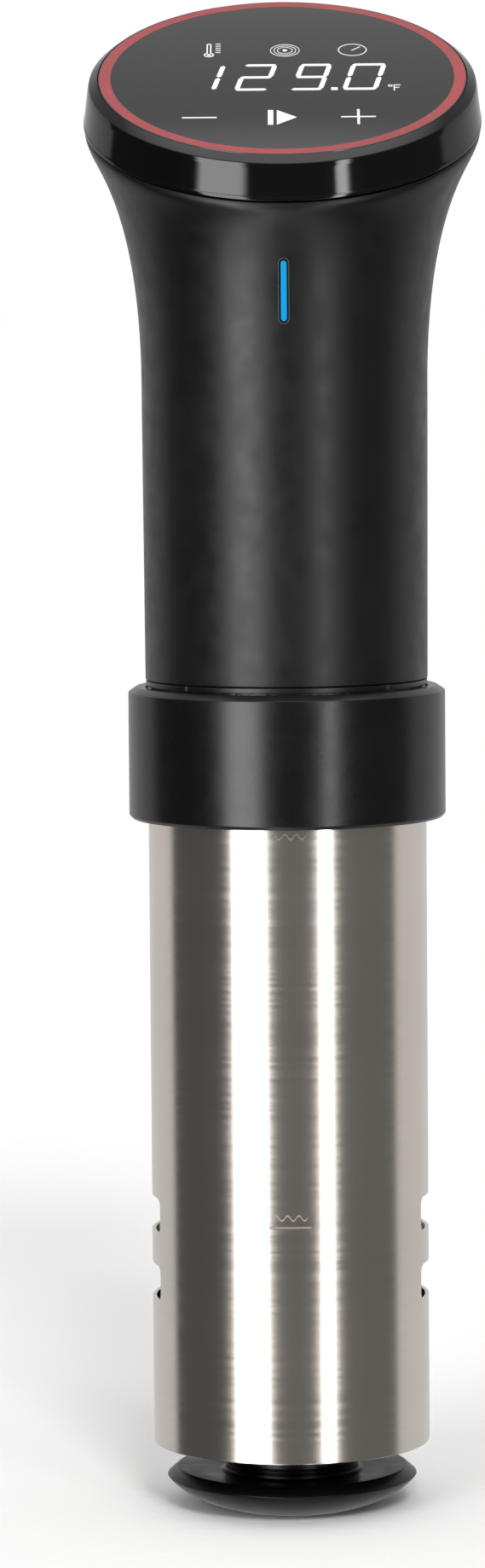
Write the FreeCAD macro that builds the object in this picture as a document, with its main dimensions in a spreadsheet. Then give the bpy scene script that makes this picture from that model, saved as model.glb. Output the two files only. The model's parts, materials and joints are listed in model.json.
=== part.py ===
import FreeCAD, Part
import os
import re

import Sketcher
from FreeCAD import Placement, Rotation, Vector

# A sous vide circulator, standing upright on its base cap.
# Frame: +Z up, -Y towards the user, origin at the centre of the flat under the base cap.

os.makedirs("parts", exist_ok=True)
doc = FreeCAD.newDocument("circulator")

SIZES = [
    # base cap
    ("rim_radius", 27.07), ("rim_height", 6.4), ("dome_depth", 7.65), ("crest_radius", 24.4),
    ("crest_height", 8.3), ("dish_height", 7.3), ("neck_radius", 14.4), ("neck_wall", 1.6),
    ("neck_top", 19.5), ("cap_floor", 3.4), ("window_width", 11.0), ("window_bottom", 10.2),
    ("window_top", 14.8), ("bead", 0.3), ("bead_low", 8.8), ("bead_high", 9.6),
    ("lug_reach", 16.2), ("lug_width", 5.4), ("lug_half_angle", 9.6), ("lug_bottom", 16.0),
    ("lug_top", 18.0),
    # pump
    ("chamber_radius", 15.0), ("chamber_wall", 3.0), ("chamber_bottom", 15.2),
    ("web_bottom", 30.0), ("web_top", 32.5), ("eye_radius", 12.5), ("hub_radius", 9.0),
    ("hub_top", 40.0), ("guide_radius", 28.5), ("guide_wall", 1.9), ("guide_bottom", 24.0),
    ("groove_radius", 16.4), ("twist_angle", 30.0), ("lug_play", 0.3), ("spoke_width", 5.0),
    ("impeller_radius", 13.4), ("impeller_bottom", 20.8), ("impeller_top", 28.4),
    ("impeller_disc", 1.2), ("blade_wall", 1.2), ("impeller_hub", 3.6),
    # steel skirt
    ("skirt_radius", 29.9), ("skirt_wall", 0.8), ("skirt_bottom", 14.0), ("skirt_top", 177.4),
    ("slot_width", 20.8), ("slot_height", 7.7), ("slot_low", 49.6), ("slot_high", 64.2),
    ("slot_corner", 2.0),
    # drive line
    ("shaft_radius", 2.0), ("shaft_bottom", 20.8), ("shaft_top", 235.0), ("bearing_play", 0.06),
    ("tube_radius", 6.0), ("tube_wall", 0.8), ("bushing_height", 8.0),
    ("can_radius", 15.0), ("can_wall", 1.2), ("can_bottom", 188.6), ("can_top", 220.0),
    ("bearing_radius", 3.4), ("rotor_radius", 9.2), ("winding_gap", 0.5), ("stack_bottom", 193.0),
    ("stack_top", 213.0), ("fan_radius", 16.0), ("fan_bottom", 224.0), ("fan_top", 231.0),
    # heater and probes
    ("coil_radius", 19.5), ("element_radius", 3.2), ("bend_low", 48.0), ("bend_high", 104.0),
    ("lead_top", 179.0), ("probe_radius", 2.0), ("probe_bottom", 44.0), ("rod_radius", 1.1),
    ("rod_spacing", 3.0), ("low_level", 64.0), ("high_level", 148.0), ("hole_play", 0.05),
    ("support_radius", 1.5), ("support_circle", 10.8),
    # heater flange and seal
    ("flange_radius", 28.85), ("flange_bottom", 168.0), ("flange_top", 186.0),
    ("flange_plate", 4.0), ("flange_step", 176.0), ("flange_neck", 27.9), ("flange_inside", 22.8),
    ("seal_section", 0.8), ("seal_height", 171.4), ("seal_groove", 2.0),
    # handle
    ("handle_bottom", 179.25), ("handle_wall", 2.2), ("straight_top", 240.0),
    ("bottom_radius", 30.32), ("straight_radius", 30.6), ("ring_bottom", 177.95),
    ("ring_radius", 30.2), ("notch_width", 0.7), ("notch_depth", 0.45),
    ("pull_height", 282.3), ("pull_radius", 30.2), ("curl_height", 291.2), ("curl_radius", 42.1),
    ("seam_z", 297.6), ("seam_y", 0.6), ("seam_radius", 42.25), ("seam_tilt", 24.0),
    ("seam_gap", 0.5), ("light_width", 2.0), ("light_height", 13.4), ("light_z", 262.3),
    ("light_recess", 0.45), ("light_play", 0.05),
    ("gland_z", 252.0), ("gland_radius", 6.0), ("gland_flange", 8.0), ("cord_radius", 3.2),
    # head
    ("head_tilt", 26.0), ("glass_y", -1.0), ("glass_z", 307.75), ("glass_radius", 39.3),
    ("glass_wall", 1.6), ("band_radius", 42.5), ("bevel_radius", 41.3), ("bevel_drop", 1.35),
    ("glass_play", 0.12), ("accent_inside", 36.5), ("accent_outside", 39.0), ("film", 0.35),
    ("ledge_radius", 36.9), ("ledge_bottom", 4.0), ("band_inside", 38.6),
    ("board_radius", 35.4), ("board_depth", 5.0), ("board_wall", 1.6), ("carrier_inside", 32.0),
    ("carrier_outside", 38.3), ("carrier_depth", 9.2),
    # electronics
    ("plate_radius", 27.5), ("plate_top", 188.5), ("frame_foot", 190.5), ("frame_inside", 22.5),
    ("bridge_bottom", 234.0), ("bridge_top", 236.4), ("bridge_inside", 17.5), ("rail_x", 16.0),
    ("rail_y", 16.5), ("rail_wall", 3.0), ("frame_top", 270.0), ("power_y", 17.2),
    ("power_width", 31.6), ("power_bottom", 192.0), ("screw_circle", 25.2), ("screw_radius", 1.25),
    ("parts_bottom", 239.0), ("capacitor_radius", 6.5), ("capacitor_x", 8.0),
    ("capacitor_top", 261.0), ("block_x", 1.0), ("transformer_size", 14.0),
    ("transformer_top", 255.0), ("relay_bottom", 258.0), ("relay_top", 269.0), ("relay_width", 13.0),
    ("relay_depth", 10.0), ("terminal_bottom", 263.0), ("terminal_width", 12.0),
    ("terminal_x", 15.0), ("terminal_depth", 8.0), ("radio_width", 9.0), ("radio_y", 18.0),
    ("radio_top", 266.0), ("led_width", 4.0), ("led_height", 10.0), ("led_depth", 4.6),
    ("led_wall", 1.2), ("module_width", 46.0), ("module_height", 18.0), ("buzzer_radius", 6.0),
    ("buzzer_wall", 3.0),
    # pot clamp
    ("clamp_bottom", 149.6), ("clamp_top", 177.85), ("clamp_radius", 34.05), ("lip_radius", 30.3),
    ("lip_height", 2.4), ("liner_inside", 30.03), ("liner_outside", 30.85), ("groove_inside", 31.0),
    ("top_chamfer", 1.7), ("top_drop", 1.15), ("bottom_chamfer", 0.75), ("boss_width", 24.0),
    ("boss_back", 41.0), ("boss_bottom", 152.0), ("boss_top", 175.5), ("jaw_wall", 4.5),
    ("jaw_bottom", 108.0), ("bridge_low", 150.0), ("bridge_high", 156.0), ("arm_front", 74.0),
    ("arm_back", 80.0), ("arm_bottom", 113.0), ("nut_radius", 8.0), ("nut_back", 84.0),
    ("screw_z", 124.0), ("thread_radius", 4.0), ("thread_depth", 0.4), ("thread_pitch", 2.0),
    ("thread_start", 64.0), ("thread_turns", 16), ("screw_end", 104.0), ("pad_front", 58.0),
    ("pad_radius", 8.5), ("pad_back", 63.0), ("pad_wall", 3.0), ("low_screw", 160.0), ("high_screw", 170.0),
    ("bracket_shank", 1.5), ("bracket_head", 3.0), ("bracket_head_wall", 2.0),
    ("rubber_wall", 1.8), ("knob_radius", 14.0), ("knob_front", 97.0), ("knob_back", 109.0),
    ("knob_lobes", 8), ("lobe_radius", 3.2),
]

sheet = doc.addObject("Spreadsheet::Sheet", "Sizes")
for row, (alias, amount) in enumerate(SIZES, 1):
    sheet.set("A%d" % row, alias)
    sheet.set("B%d" % row, str(amount))
    sheet.setAlias("B%d" % row, alias)
doc.recompute()

ALIASES = {alias for alias, amount in SIZES}
X_AXIS = Vector(1, 0, 0)
Z_AXIS = Vector(0, 0, 1)
nodes = []


# ---------------------------------------------------------------- helpers

def bound(expression):
    """The expression with every alias pointing at its cell of the sheet."""
    return re.sub(r"[a-z_]+", lambda word: "Sizes." + word.group(0)
                  if word.group(0) in ALIASES else word.group(0), str(expression))


def value(expression):
    """The number that an expression comes to."""
    return float(sheet.evalExpression(bound(expression)))


def keep(label, item):
    """Name a finished sub-part and list it for export."""
    item.Label = label
    nodes.append(item)
    return item


def move(item, x="0", y="0", z="0"):
    """Bind the place of an item to the sheet."""
    for axis, expression in zip("xyz", (x, y, z)):
        if str(expression) != "0":
            item.setExpression("Placement.Base." + axis, bound(expression))
    return item


def turn(item, axis, angle):
    """Turn an item about its own origin."""
    item.Placement = Placement(Vector(), Rotation(axis, angle))
    return item


def primitive(kind, name, **sizes):
    """A Part primitive with its sizes bound to the sheet."""
    item = doc.addObject("Part::" + kind, name)
    for key, expression in sizes.items():
        item.setExpression(key, bound(expression))
    return item


def rod(name, radius, bottom, top, x="0", y="0"):
    """An upright cylinder from one height to another."""
    item = primitive("Cylinder", name, Radius=radius, Height="(%s) - (%s)" % (top, bottom))
    return move(item, x, y, bottom)


def cross_rod(name, radius, front, back, z, x="0"):
    """A cylinder along Y from front to back."""
    item = primitive("Cylinder", name, Radius=radius, Height="(%s) - (%s)" % (back, front))
    return move(turn(item, X_AXIS, -90), x, front, z)


def block(name, low, high):
    """A box between two corners."""
    spans = ["(%s) - (%s)" % (b, a) for a, b in zip(low, high)]
    item = primitive("Box", name, Length=spans[0], Width=spans[1], Height=spans[2])
    return move(item, *low)


def fuse(name, items):
    """Several solids joined into one."""
    item = doc.addObject("Part::MultiFuse", name)
    item.Shapes = items
    return item


def cut(name, base, tools):
    """One solid with others taken from it."""
    item = doc.addObject("Part::Cut", name)
    item.Base = base
    item.Tool = tools[0] if len(tools) == 1 else fuse(name + "_tools", tools)
    return item


def common(name, base, tool):
    """The part that two solids share."""
    item = doc.addObject("Part::Common", name)
    item.Base = base
    item.Tool = tool
    return item


def group(name, items):
    """Identical pieces kept as separate solids."""
    item = doc.addObject("Part::Compound", name)
    item.Links = items
    return item


def sleeve(name, inside, outside, bottom, top):
    """An upright tube about the axis."""
    return cut(name, rod(name + "_outer", outside, bottom, top),
               [rod(name + "_bore", inside, "(%s) - 1" % bottom, "(%s) + 1" % top)])


def around(count, start=0.0):
    """Evenly spaced angles in degrees."""
    return [start + 360.0 * i / count for i in range(count)]


def polar(radius, angle):
    """Expressions for a place on a circle about the axis."""
    return "%s * cos(%g)" % (radius, angle), "%s * sin(%g)" % (radius, angle)


def new_sketch(body, name, role):
    """A sketch on one of a body's own origin planes."""
    plane = [item for item in body.Origin.OriginFeatures if item.Role == role][0]
    sketch = body.newObject("Sketcher::SketchObject", name)
    sketch.AttachmentSupport = (plane, [""])
    sketch.MapMode = "FlatFace"
    return sketch


def pin(sketch, line, kind, expression, axis):
    """Hold the start of a line at a distance from the sketch's origin."""
    distance = value(expression)
    if abs(distance) < 1e-9:
        sketch.addConstraint(Sketcher.Constraint("PointOnObject", line, 1, axis))
        return
    rule = Sketcher.Constraint(kind, -1, 1, line, 1, distance)
    index = sketch.addConstraint(rule)
    sketch.setExpression("Constraints[%d]" % index, bound(expression))


def draw(sketch, outline):
    """A closed outline whose corners are bound to the sheet."""
    corners = [Vector(value(x), value(y), 0) for x, y in outline]
    count = len(corners)
    for i in range(count):
        sketch.addGeometry(Part.LineSegment(corners[i], corners[(i + 1) % count]), False)
    for i in range(count):
        sketch.addConstraint(Sketcher.Constraint("Coincident", i, 2, (i + 1) % count, 1))
    for i, (x, y) in enumerate(outline):
        pin(sketch, i, "DistanceX", x, -2)
        pin(sketch, i, "DistanceY", y, -1)


def turned(name, outline):
    """A body turned about Z from an outline of radius and height."""
    body = doc.addObject("PartDesign::Body", name)
    sketch = new_sketch(body, name + "_outline", "XZ_Plane")
    draw(sketch, outline)
    spin = body.newObject("PartDesign::Revolution", name + "_turn")
    spin.Profile = sketch
    spin.ReferenceAxis = (sketch, ["V_Axis"])
    spin.Angle = 360
    return body


def in_head(item, depth, across="0", up="0"):
    """Place an item on the tilted head, measured down from the glass's top face."""
    turn(item, X_AXIS, value("head_tilt"))
    item.setExpression("Placement.Rotation.Angle", bound("head_tilt"))
    y = "glass_y + (%s) * cos(head_tilt) + (%s) * sin(head_tilt)" % (up, depth)
    z = "glass_z + (%s) * sin(head_tilt) - (%s) * cos(head_tilt)" % (up, depth)
    return move(item, across, y, z)


def head_disc(name, radius, top, bottom, across="0", up="0"):
    """A disc on the head's own axis between two depths."""
    item = primitive("Cylinder", name, Radius=radius, Height="(%s) - (%s)" % (bottom, top))
    return in_head(item, bottom, across, up)


def head_ring(name, inside, outside, top, bottom):
    """A ring on the head's own axis between two depths."""
    bore = head_disc(name + "_bore", inside, "(%s) - 1" % top, "(%s) + 1" % bottom)
    return cut(name, head_disc(name + "_disc", outside, top, bottom), [bore])


# ---------------------------------------------------------------- base cap and pump

def base_cap():
    """Mushroom-shaped cap with a neck that twists into the pump housing."""
    dome = primitive("Ellipsoid", "cap_dome", Radius1="dome_depth", Radius2="rim_radius",
                     Radius3="rim_radius")
    move(dome, z="rim_height")
    foot = common("cap_foot", dome, rod("cap_slab", "rim_radius + 1", "0", "rim_height"))
    top = turned("cap_top", [
        ("0", "rim_height - 1"), ("rim_radius - 1", "rim_height - 1"),
        ("rim_radius", "rim_height"), ("rim_radius - 0.35", "rim_height + 0.7"),
        ("rim_radius - 1.3", "crest_height - 0.45"), ("crest_radius", "crest_height"),
        ("crest_radius - 2.4", "crest_height - 0.2"), ("neck_radius + 1.5", "dish_height"),
        ("neck_radius", "dish_height + 0.3"),
        ("neck_radius", "bead_low - bead"), ("neck_radius + bead", "bead_low"),
        ("neck_radius", "bead_low + bead"),
        ("neck_radius", "bead_high - bead"), ("neck_radius + bead", "bead_high"),
        ("neck_radius", "bead_high + bead"),
        ("neck_radius", "neck_top"), ("neck_radius - neck_wall", "neck_top"),
        ("neck_radius - neck_wall", "cap_floor + 3"), ("neck_radius - neck_wall - 3", "cap_floor + 3"),
        ("0", "cap_floor + 5")])
    lugs = block("cap_lugs", ("-lug_reach", "-lug_width / 2", "lug_bottom"),
                 ("lug_reach", "lug_width / 2", "lug_top"))
    lug_disc = sleeve("cap_lug_ring", "neck_radius - neck_wall / 2", "lug_reach",
                      "lug_bottom - 1", "lug_top + 1")
    windows = []
    for angle in (45, 135):
        hole = primitive("Box", "cap_window", Length="2 * neck_radius + 8", Width="window_width",
                         Height="window_top - window_bottom")
        turn(hole, Z_AXIS, angle)
        x = "-(neck_radius + 4) * cos(%g) + window_width / 2 * sin(%g)" % (angle, angle)
        y = "-(neck_radius + 4) * sin(%g) - window_width / 2 * cos(%g)" % (angle, angle)
        windows.append(move(hole, x, y, "window_bottom"))
    solid = fuse("cap_solid", [foot, top, common("cap_lug_pair", lugs, lug_disc)])
    keep("base_cap", cut("base_cap", solid, windows))


def pump_housing():
    """Housing that centres the skirt, holds the shaft tube and takes the base cap's lugs."""
    wall = turned("housing_wall", [
        ("eye_radius", "web_bottom"), ("chamber_radius", "web_bottom"),
        ("chamber_radius", "chamber_bottom"), ("chamber_radius + chamber_wall", "chamber_bottom"),
        ("chamber_radius + chamber_wall", "web_bottom"), ("guide_radius - guide_wall", "web_bottom"),
        ("guide_radius - guide_wall", "guide_bottom"), ("guide_radius", "guide_bottom"),
        ("guide_radius", "web_top"), ("eye_radius", "web_top")])
    hub = turned("housing_hub", [
        ("shaft_radius + 0.6", "web_bottom"), ("hub_radius", "web_bottom"), ("hub_radius", "hub_top"),
        ("tube_radius + hole_play", "hub_top"), ("tube_radius + hole_play", "web_top"),
        ("shaft_radius + 0.6", "web_top")])
    spokes = []
    for angle in around(3, 90):
        spoke = primitive("Box", "housing_spoke", Length="eye_radius - hub_radius + 2",
                          Width="spoke_width", Height="web_top - web_bottom")
        turn(spoke, Z_AXIS, angle)
        x = "(hub_radius - 1) * cos(%g) + spoke_width / 2 * sin(%g)" % (angle, angle)
        y = "(hub_radius - 1) * sin(%g) - spoke_width / 2 * cos(%g)" % (angle, angle)
        spokes.append(move(spoke, x, y, "web_bottom"))
    tracks = []
    for start in (0, 180):
        track = primitive("Cylinder", "housing_track", Radius="groove_radius",
                          Height="lug_top - lug_bottom + 2 * lug_play")
        track.setExpression("Angle", bound("2 * lug_half_angle + twist_angle + 8"))
        turn(track, Z_AXIS, start - value("lug_half_angle + 4"))
        tracks.append(move(track, z="lug_bottom - lug_play"))
        entry = primitive("Cylinder", "housing_entry", Radius="groove_radius",
                          Height="lug_bottom - chamber_bottom + 1")
        entry.setExpression("Angle", bound("2 * lug_half_angle + 8"))
        turn(entry, Z_AXIS, start + value("twist_angle - lug_half_angle - 4"))
        tracks.append(move(entry, z="chamber_bottom - 0.5"))
    solid = fuse("housing_solid", [wall, hub] + spokes)
    keep("pump_housing", cut("pump_housing", solid, tracks))


def impeller():
    """Open impeller with five straight blades."""
    pieces = [sleeve("impeller_plate", "shaft_radius", "impeller_radius", "impeller_bottom",
                     "impeller_bottom + impeller_disc"),
              sleeve("impeller_hub_ring", "shaft_radius", "impeller_hub", "impeller_bottom",
                     "impeller_top")]
    for angle in around(5, 18):
        blade = primitive("Box", "impeller_blade", Length="impeller_radius - impeller_hub",
                          Width="blade_wall", Height="impeller_top - impeller_bottom - 0.5")
        turn(blade, Z_AXIS, angle)
        x = "(impeller_hub - 0.3) * cos(%g) + blade_wall / 2 * sin(%g)" % (angle, angle)
        y = "(impeller_hub - 0.3) * sin(%g) - blade_wall / 2 * cos(%g)" % (angle, angle)
        pieces.append(move(blade, x, y, "impeller_bottom + 0.5"))
    keep("impeller", fuse("impeller", pieces))


# ---------------------------------------------------------------- water section

def steel_skirt():
    """Stainless tube with two inlet slots on each side."""
    body = turned("steel_skirt", [
        ("skirt_radius - skirt_wall", "skirt_bottom"), ("skirt_radius", "skirt_bottom"),
        ("skirt_radius", "skirt_top"), ("skirt_radius - skirt_wall", "skirt_top")])
    for name, level in (("low_slots", "slot_low"), ("high_slots", "slot_high")):
        sketch = new_sketch(body, name + "_outline", "YZ_Plane")
        side = "slot_width / 2"
        edge = "slot_width / 2 - slot_corner"
        low = "%s - slot_height / 2" % level
        high = "%s + slot_height / 2" % level
        draw(sketch, [("-(%s)" % side, low + " + slot_corner"), ("-(%s)" % edge, low),
                      (edge, low), (side, low + " + slot_corner"),
                      (side, high + " - slot_corner"), (edge, high),
                      ("-(%s)" % edge, high), ("-(%s)" % side, high + " - slot_corner")])
        doc.recompute()
        before = body.Shape.Volume
        pocket = body.newObject("PartDesign::Pocket", name)
        pocket.Profile = sketch
        pocket.Type = "ThroughAll"
        pocket.Midplane = True
        doc.recompute()
        assert body.Shape.Volume < before - 10, name
    keep("steel_skirt", body)


def heater_flange():
    """Bulkhead that closes the handle and carries the heater, probes and shaft tube."""
    body = turned("flange_body", [
        ("tube_radius + hole_play", "flange_bottom"), ("flange_radius", "flange_bottom"),
        ("flange_radius", "seal_height - seal_section - 0.4"),
        ("flange_radius - seal_groove", "seal_height - seal_section - 0.4"),
        ("flange_radius - seal_groove", "seal_height + seal_section + 0.4"),
        ("flange_radius", "seal_height + seal_section + 0.4"), ("flange_radius", "flange_step"),
        ("flange_neck", "flange_step"), ("flange_neck", "flange_top"),
        ("flange_inside", "flange_top"), ("flange_inside", "flange_bottom + flange_plate"),
        ("tube_radius + hole_play", "flange_bottom + flange_plate")])
    low = "flange_bottom - 1"
    high = "flange_bottom + flange_plate + 1"
    holes = [rod("lead_hole", "element_radius + hole_play", low, high, *polar("coil_radius", angle))
             for angle in (30, 330)]
    holes.append(rod("probe_hole", "probe_radius + hole_play", low, high, "coil_radius"))
    holes += [rod("level_hole", "rod_radius + hole_play", low, high, "-coil_radius", side)
              for side in ("rod_spacing", "-rod_spacing")]
    holes += [rod("frame_hole", "screw_radius", "flange_step", "flange_top + 1",
                  *polar("screw_circle", angle)) for angle in around(4)]
    keep("heater_flange", cut("heater_flange", body, holes))
    ring = primitive("Torus", "skirt_seal", Radius1="flange_radius - seal_section",
                     Radius2="seal_section")
    keep("skirt_seal", move(ring, z="seal_height"))


def heater_element():
    """Sheathed element: six upright runs joined by half-round bends."""
    pieces = []
    for angle in around(6, 30):
        top = "lead_top" if angle in (30, 330) else "bend_high"
        pieces.append(rod("element_run", "element_radius", "bend_low", top,
                          *polar("coil_radius", angle)))
    for angle, level, side in ((60, "bend_low", -1), (180, "bend_low", -1), (300, "bend_low", -1),
                               (120, "bend_high", 1), (240, "bend_high", 1)):
        bend = primitive("Torus", "element_bend", Radius1="coil_radius / 2", Radius2="element_radius")
        bend.Angle3 = 180
        lean = Rotation(Z_AXIS, angle + 90).multiply(Rotation(X_AXIS, 90 * side))
        bend.Placement = Placement(Vector(), lean)
        pieces.append(move(bend, *polar("coil_radius * cos(30)", angle), level))
    keep("heater_element", fuse("heater_element", pieces))


def probes_and_supports():
    """Temperature probe, two level rods, shaft tube and the rods that hold the pump."""
    tip = move(primitive("Sphere", "probe_tip", Radius="probe_radius"), "coil_radius", "0",
               "probe_bottom + probe_radius")
    stem = rod("probe_stem", "probe_radius", "probe_bottom + probe_radius", "lead_top", "coil_radius")
    keep("temperature_probe", fuse("temperature_probe", [tip, stem]))
    keep("low_level_rod", rod("low_level_rod", "rod_radius", "low_level", "lead_top",
                              "-coil_radius", "rod_spacing"))
    keep("high_level_rod", rod("high_level_rod", "rod_radius", "high_level", "lead_top",
                               "-coil_radius", "-rod_spacing"))
    keep("support_rods", group("support_rods", [
        rod("support_rod", "support_radius", "web_top", "flange_bottom",
            *polar("support_circle", angle)) for angle in around(3, 90)]))
    keep("shaft_tube", sleeve("shaft_tube", "tube_radius - tube_wall", "tube_radius", "web_top",
                              "flange_bottom + flange_plate"))
    keep("pump_bushing", sleeve("pump_bushing", "shaft_radius + bearing_play",
                                "tube_radius - tube_wall", "web_top", "web_top + bushing_height"))
    keep("shaft_seal", sleeve("shaft_seal", "shaft_radius + bearing_play", "tube_radius + 3",
                              "flange_bottom + flange_plate", "flange_bottom + flange_plate + 3"))


# ---------------------------------------------------------------- motor

def motor():
    """Motor on its plate, with rotor, shaft and cooling fan."""
    plate = sleeve("plate_disc", "bearing_radius + 1", "plate_radius", "flange_top", "plate_top")
    holes = [rod("plate_hole", "screw_radius + hole_play", "flange_top - 1", "plate_top + 1",
                 *polar("screw_circle", angle)) for angle in around(4)]
    holes += [rod("motor_hole", "screw_radius + hole_play", "flange_top - 1", "plate_top + 1",
                  *polar("rotor_radius", angle)) for angle in around(2, 45)]
    keep("motor_plate", cut("motor_plate", plate, holes))
    heads = []
    for angle in around(2, 45):
        place = polar("rotor_radius", angle)
        shank = rod("motor_shank", "screw_radius", "flange_top", "can_bottom + 1.3", *place)
        head = rod("motor_head", "2 * screw_radius", "flange_top - 1.6", "flange_top", *place)
        heads.append(fuse("motor_screw", [shank, head]))
    keep("motor_screws", group("motor_screws", heads))
    can = turned("can_body", [
        ("bearing_radius", "can_bottom"), ("can_radius", "can_bottom"), ("can_radius", "can_top"),
        ("bearing_radius", "can_top"), ("bearing_radius", "can_top - 1.5"),
        ("can_radius - can_wall", "can_top - 1.5"), ("can_radius - can_wall", "can_bottom + 1.5"),
        ("bearing_radius", "can_bottom + 1.5")])
    taps = [rod("can_tap", "screw_radius", "can_bottom - 1", "can_bottom + 2",
                *polar("rotor_radius", angle)) for angle in around(2, 45)]
    keep("motor_can", cut("motor_can", can, taps))
    keep("motor_winding", sleeve("motor_winding", "rotor_radius + winding_gap",
                                 "can_radius - can_wall", "stack_bottom - 1", "stack_top + 1"))
    keep("motor_bearings", group("motor_bearings", [
        sleeve("lower_bearing", "shaft_radius + bearing_play", "bearing_radius", "can_bottom",
               "can_bottom + 3"),
        sleeve("upper_bearing", "shaft_radius + bearing_play", "bearing_radius", "can_top - 3",
               "can_top")]))
    keep("motor_rotor", sleeve("motor_rotor", "shaft_radius", "rotor_radius", "stack_bottom",
                               "stack_top"))
    keep("drive_shaft", rod("drive_shaft", "shaft_radius", "shaft_bottom", "shaft_top"))
    blades = [sleeve("fan_hub", "shaft_radius", "2 * shaft_radius", "fan_bottom", "fan_top")]
    for angle in around(7):
        blade = primitive("Box", "fan_blade", Length="fan_radius - 2 * shaft_radius + 0.4",
                          Width="1.2", Height="fan_top - fan_bottom - 1")
        lean = Rotation(Z_AXIS, angle).multiply(Rotation(X_AXIS, 30))
        blade.Placement = Placement(Vector(), lean)
        x, y = polar("(2 * shaft_radius - 0.4)", angle)
        blades.append(move(blade, x, y, "fan_bottom + 0.5"))
    keep("cooling_fan", fuse("cooling_fan", blades))


# ---------------------------------------------------------------- handle

FLARE_STEPS = 12


def flare(step):
    """Height and radius along the flare: a cubic curve from the straight part to the seam."""
    s = step / FLARE_STEPS
    weights = ((1 - s) ** 3, 3 * (1 - s) ** 2 * s, 3 * (1 - s) * s ** 2, s ** 3)
    curves = (("straight_top", "pull_height", "curl_height", "seam_z"),
              ("straight_radius", "pull_radius", "curl_radius", "seam_radius"))
    return ["(%s)" % " + ".join("%.6f * %s" % pair for pair in zip(weights, names) if pair[0])
            for names in curves]


def handle_solid(name, inset, reach="0"):
    """The handle's outer shape moved inwards, reaching past both ends."""
    foot = primitive("Circle", name + "_foot", Radius="bottom_radius - (%s)" % inset)
    rings = [move(foot, z="handle_bottom - (%s)" % reach)]
    for step in range(FLARE_STEPS + 1):
        height, radius = flare(step)
        lean = "pow((%s - straight_top) / (seam_z - straight_top); 2)" % height
        past = reach if step == FLARE_STEPS else "0"
        ring = primitive("Circle", name + "_ring", Radius="%s - (%s)" % (radius, inset))
        if step:
            turn(ring, X_AXIS, value("seam_tilt * " + lean))
            ring.setExpression("Placement.Rotation.Angle", bound("seam_tilt * " + lean))
        rings.append(move(ring, "0", "seam_y * %s - (%s) * sin(seam_tilt)" % (lean, past),
                          "%s + (%s) * cos(seam_tilt)" % (height, past)))
    item = doc.addObject("Part::Loft", name)
    item.Sections = rings
    item.Solid = True
    item.Ruled = True
    return item


def light_prism(name, play, back):
    """Upright round-ended prism for the status light, from in front of the handle to a depth."""
    half = "light_height / 2 - light_width / 2"
    low = "light_z - (%s)" % half
    high = "light_z + (%s)" % half
    width = "light_width / 2 + (%s)" % play
    return fuse(name, [
        block(name + "_middle", ("-(%s)" % width, "-curl_radius", low), (width, back, high)),
        cross_rod(name + "_low", width, "-curl_radius", back, low),
        cross_rod(name + "_high", width, "-curl_radius", back, high)])


def handle():
    """Handle shell, its end ring, the status light and the cord gland."""
    tools = [handle_solid("shell_inside", "handle_wall", "1.5"),
             light_prism("light_hole", "light_play", "-straight_radius + led_depth + 1.4"),
             cross_rod("gland_hole", "gland_radius", "0", "curl_radius", "gland_z")]
    keep("handle_shell", cut("handle_shell", handle_solid("shell_outside", "0"), tools))
    prism = light_prism("light_pipe_prism", "0", "-straight_radius + led_depth - 0.1")
    pipe = common("pipe_trimmed", prism, handle_solid("pipe_limit", "light_recess"))
    keep("status_light_pipe", pipe)
    keep("status_led_board", block("status_led_board", (
        "-led_width", "-straight_radius + led_depth", "light_z - led_height"),
        ("led_width", "-straight_radius + led_depth + led_wall", "light_z + led_height")))
    stem = cross_rod("gland_stem", "gland_radius", "straight_radius - handle_wall - 3",
                     "straight_radius + 3", "gland_z")
    flange = cut("gland_flange_trim", cross_rod("gland_plate", "gland_flange", "0",
                                                "straight_radius + 3", "gland_z"),
                 [handle_solid("gland_limit", "-0.05", "1")])
    bore = cross_rod("gland_bore", "cord_radius", "0", "straight_radius + 9", "gland_z")
    keep("cord_gland", cut("cord_gland", fuse("gland_solid", [stem, flange]), [bore]))
    ring = sleeve("end_ring_plain", "flange_neck + hole_play", "ring_radius", "ring_bottom",
                  "handle_bottom - 0.05")
    notches = []
    for angle in (225, 315):
        x, y = polar("(ring_radius + 1 - notch_depth)", angle)
        notches.append(rod("ring_notch", "1", "ring_bottom - 1", "handle_bottom + 1", x, y))
    keep("handle_end_ring", cut("handle_end_ring", ring, notches))


# ---------------------------------------------------------------- electronics

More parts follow.
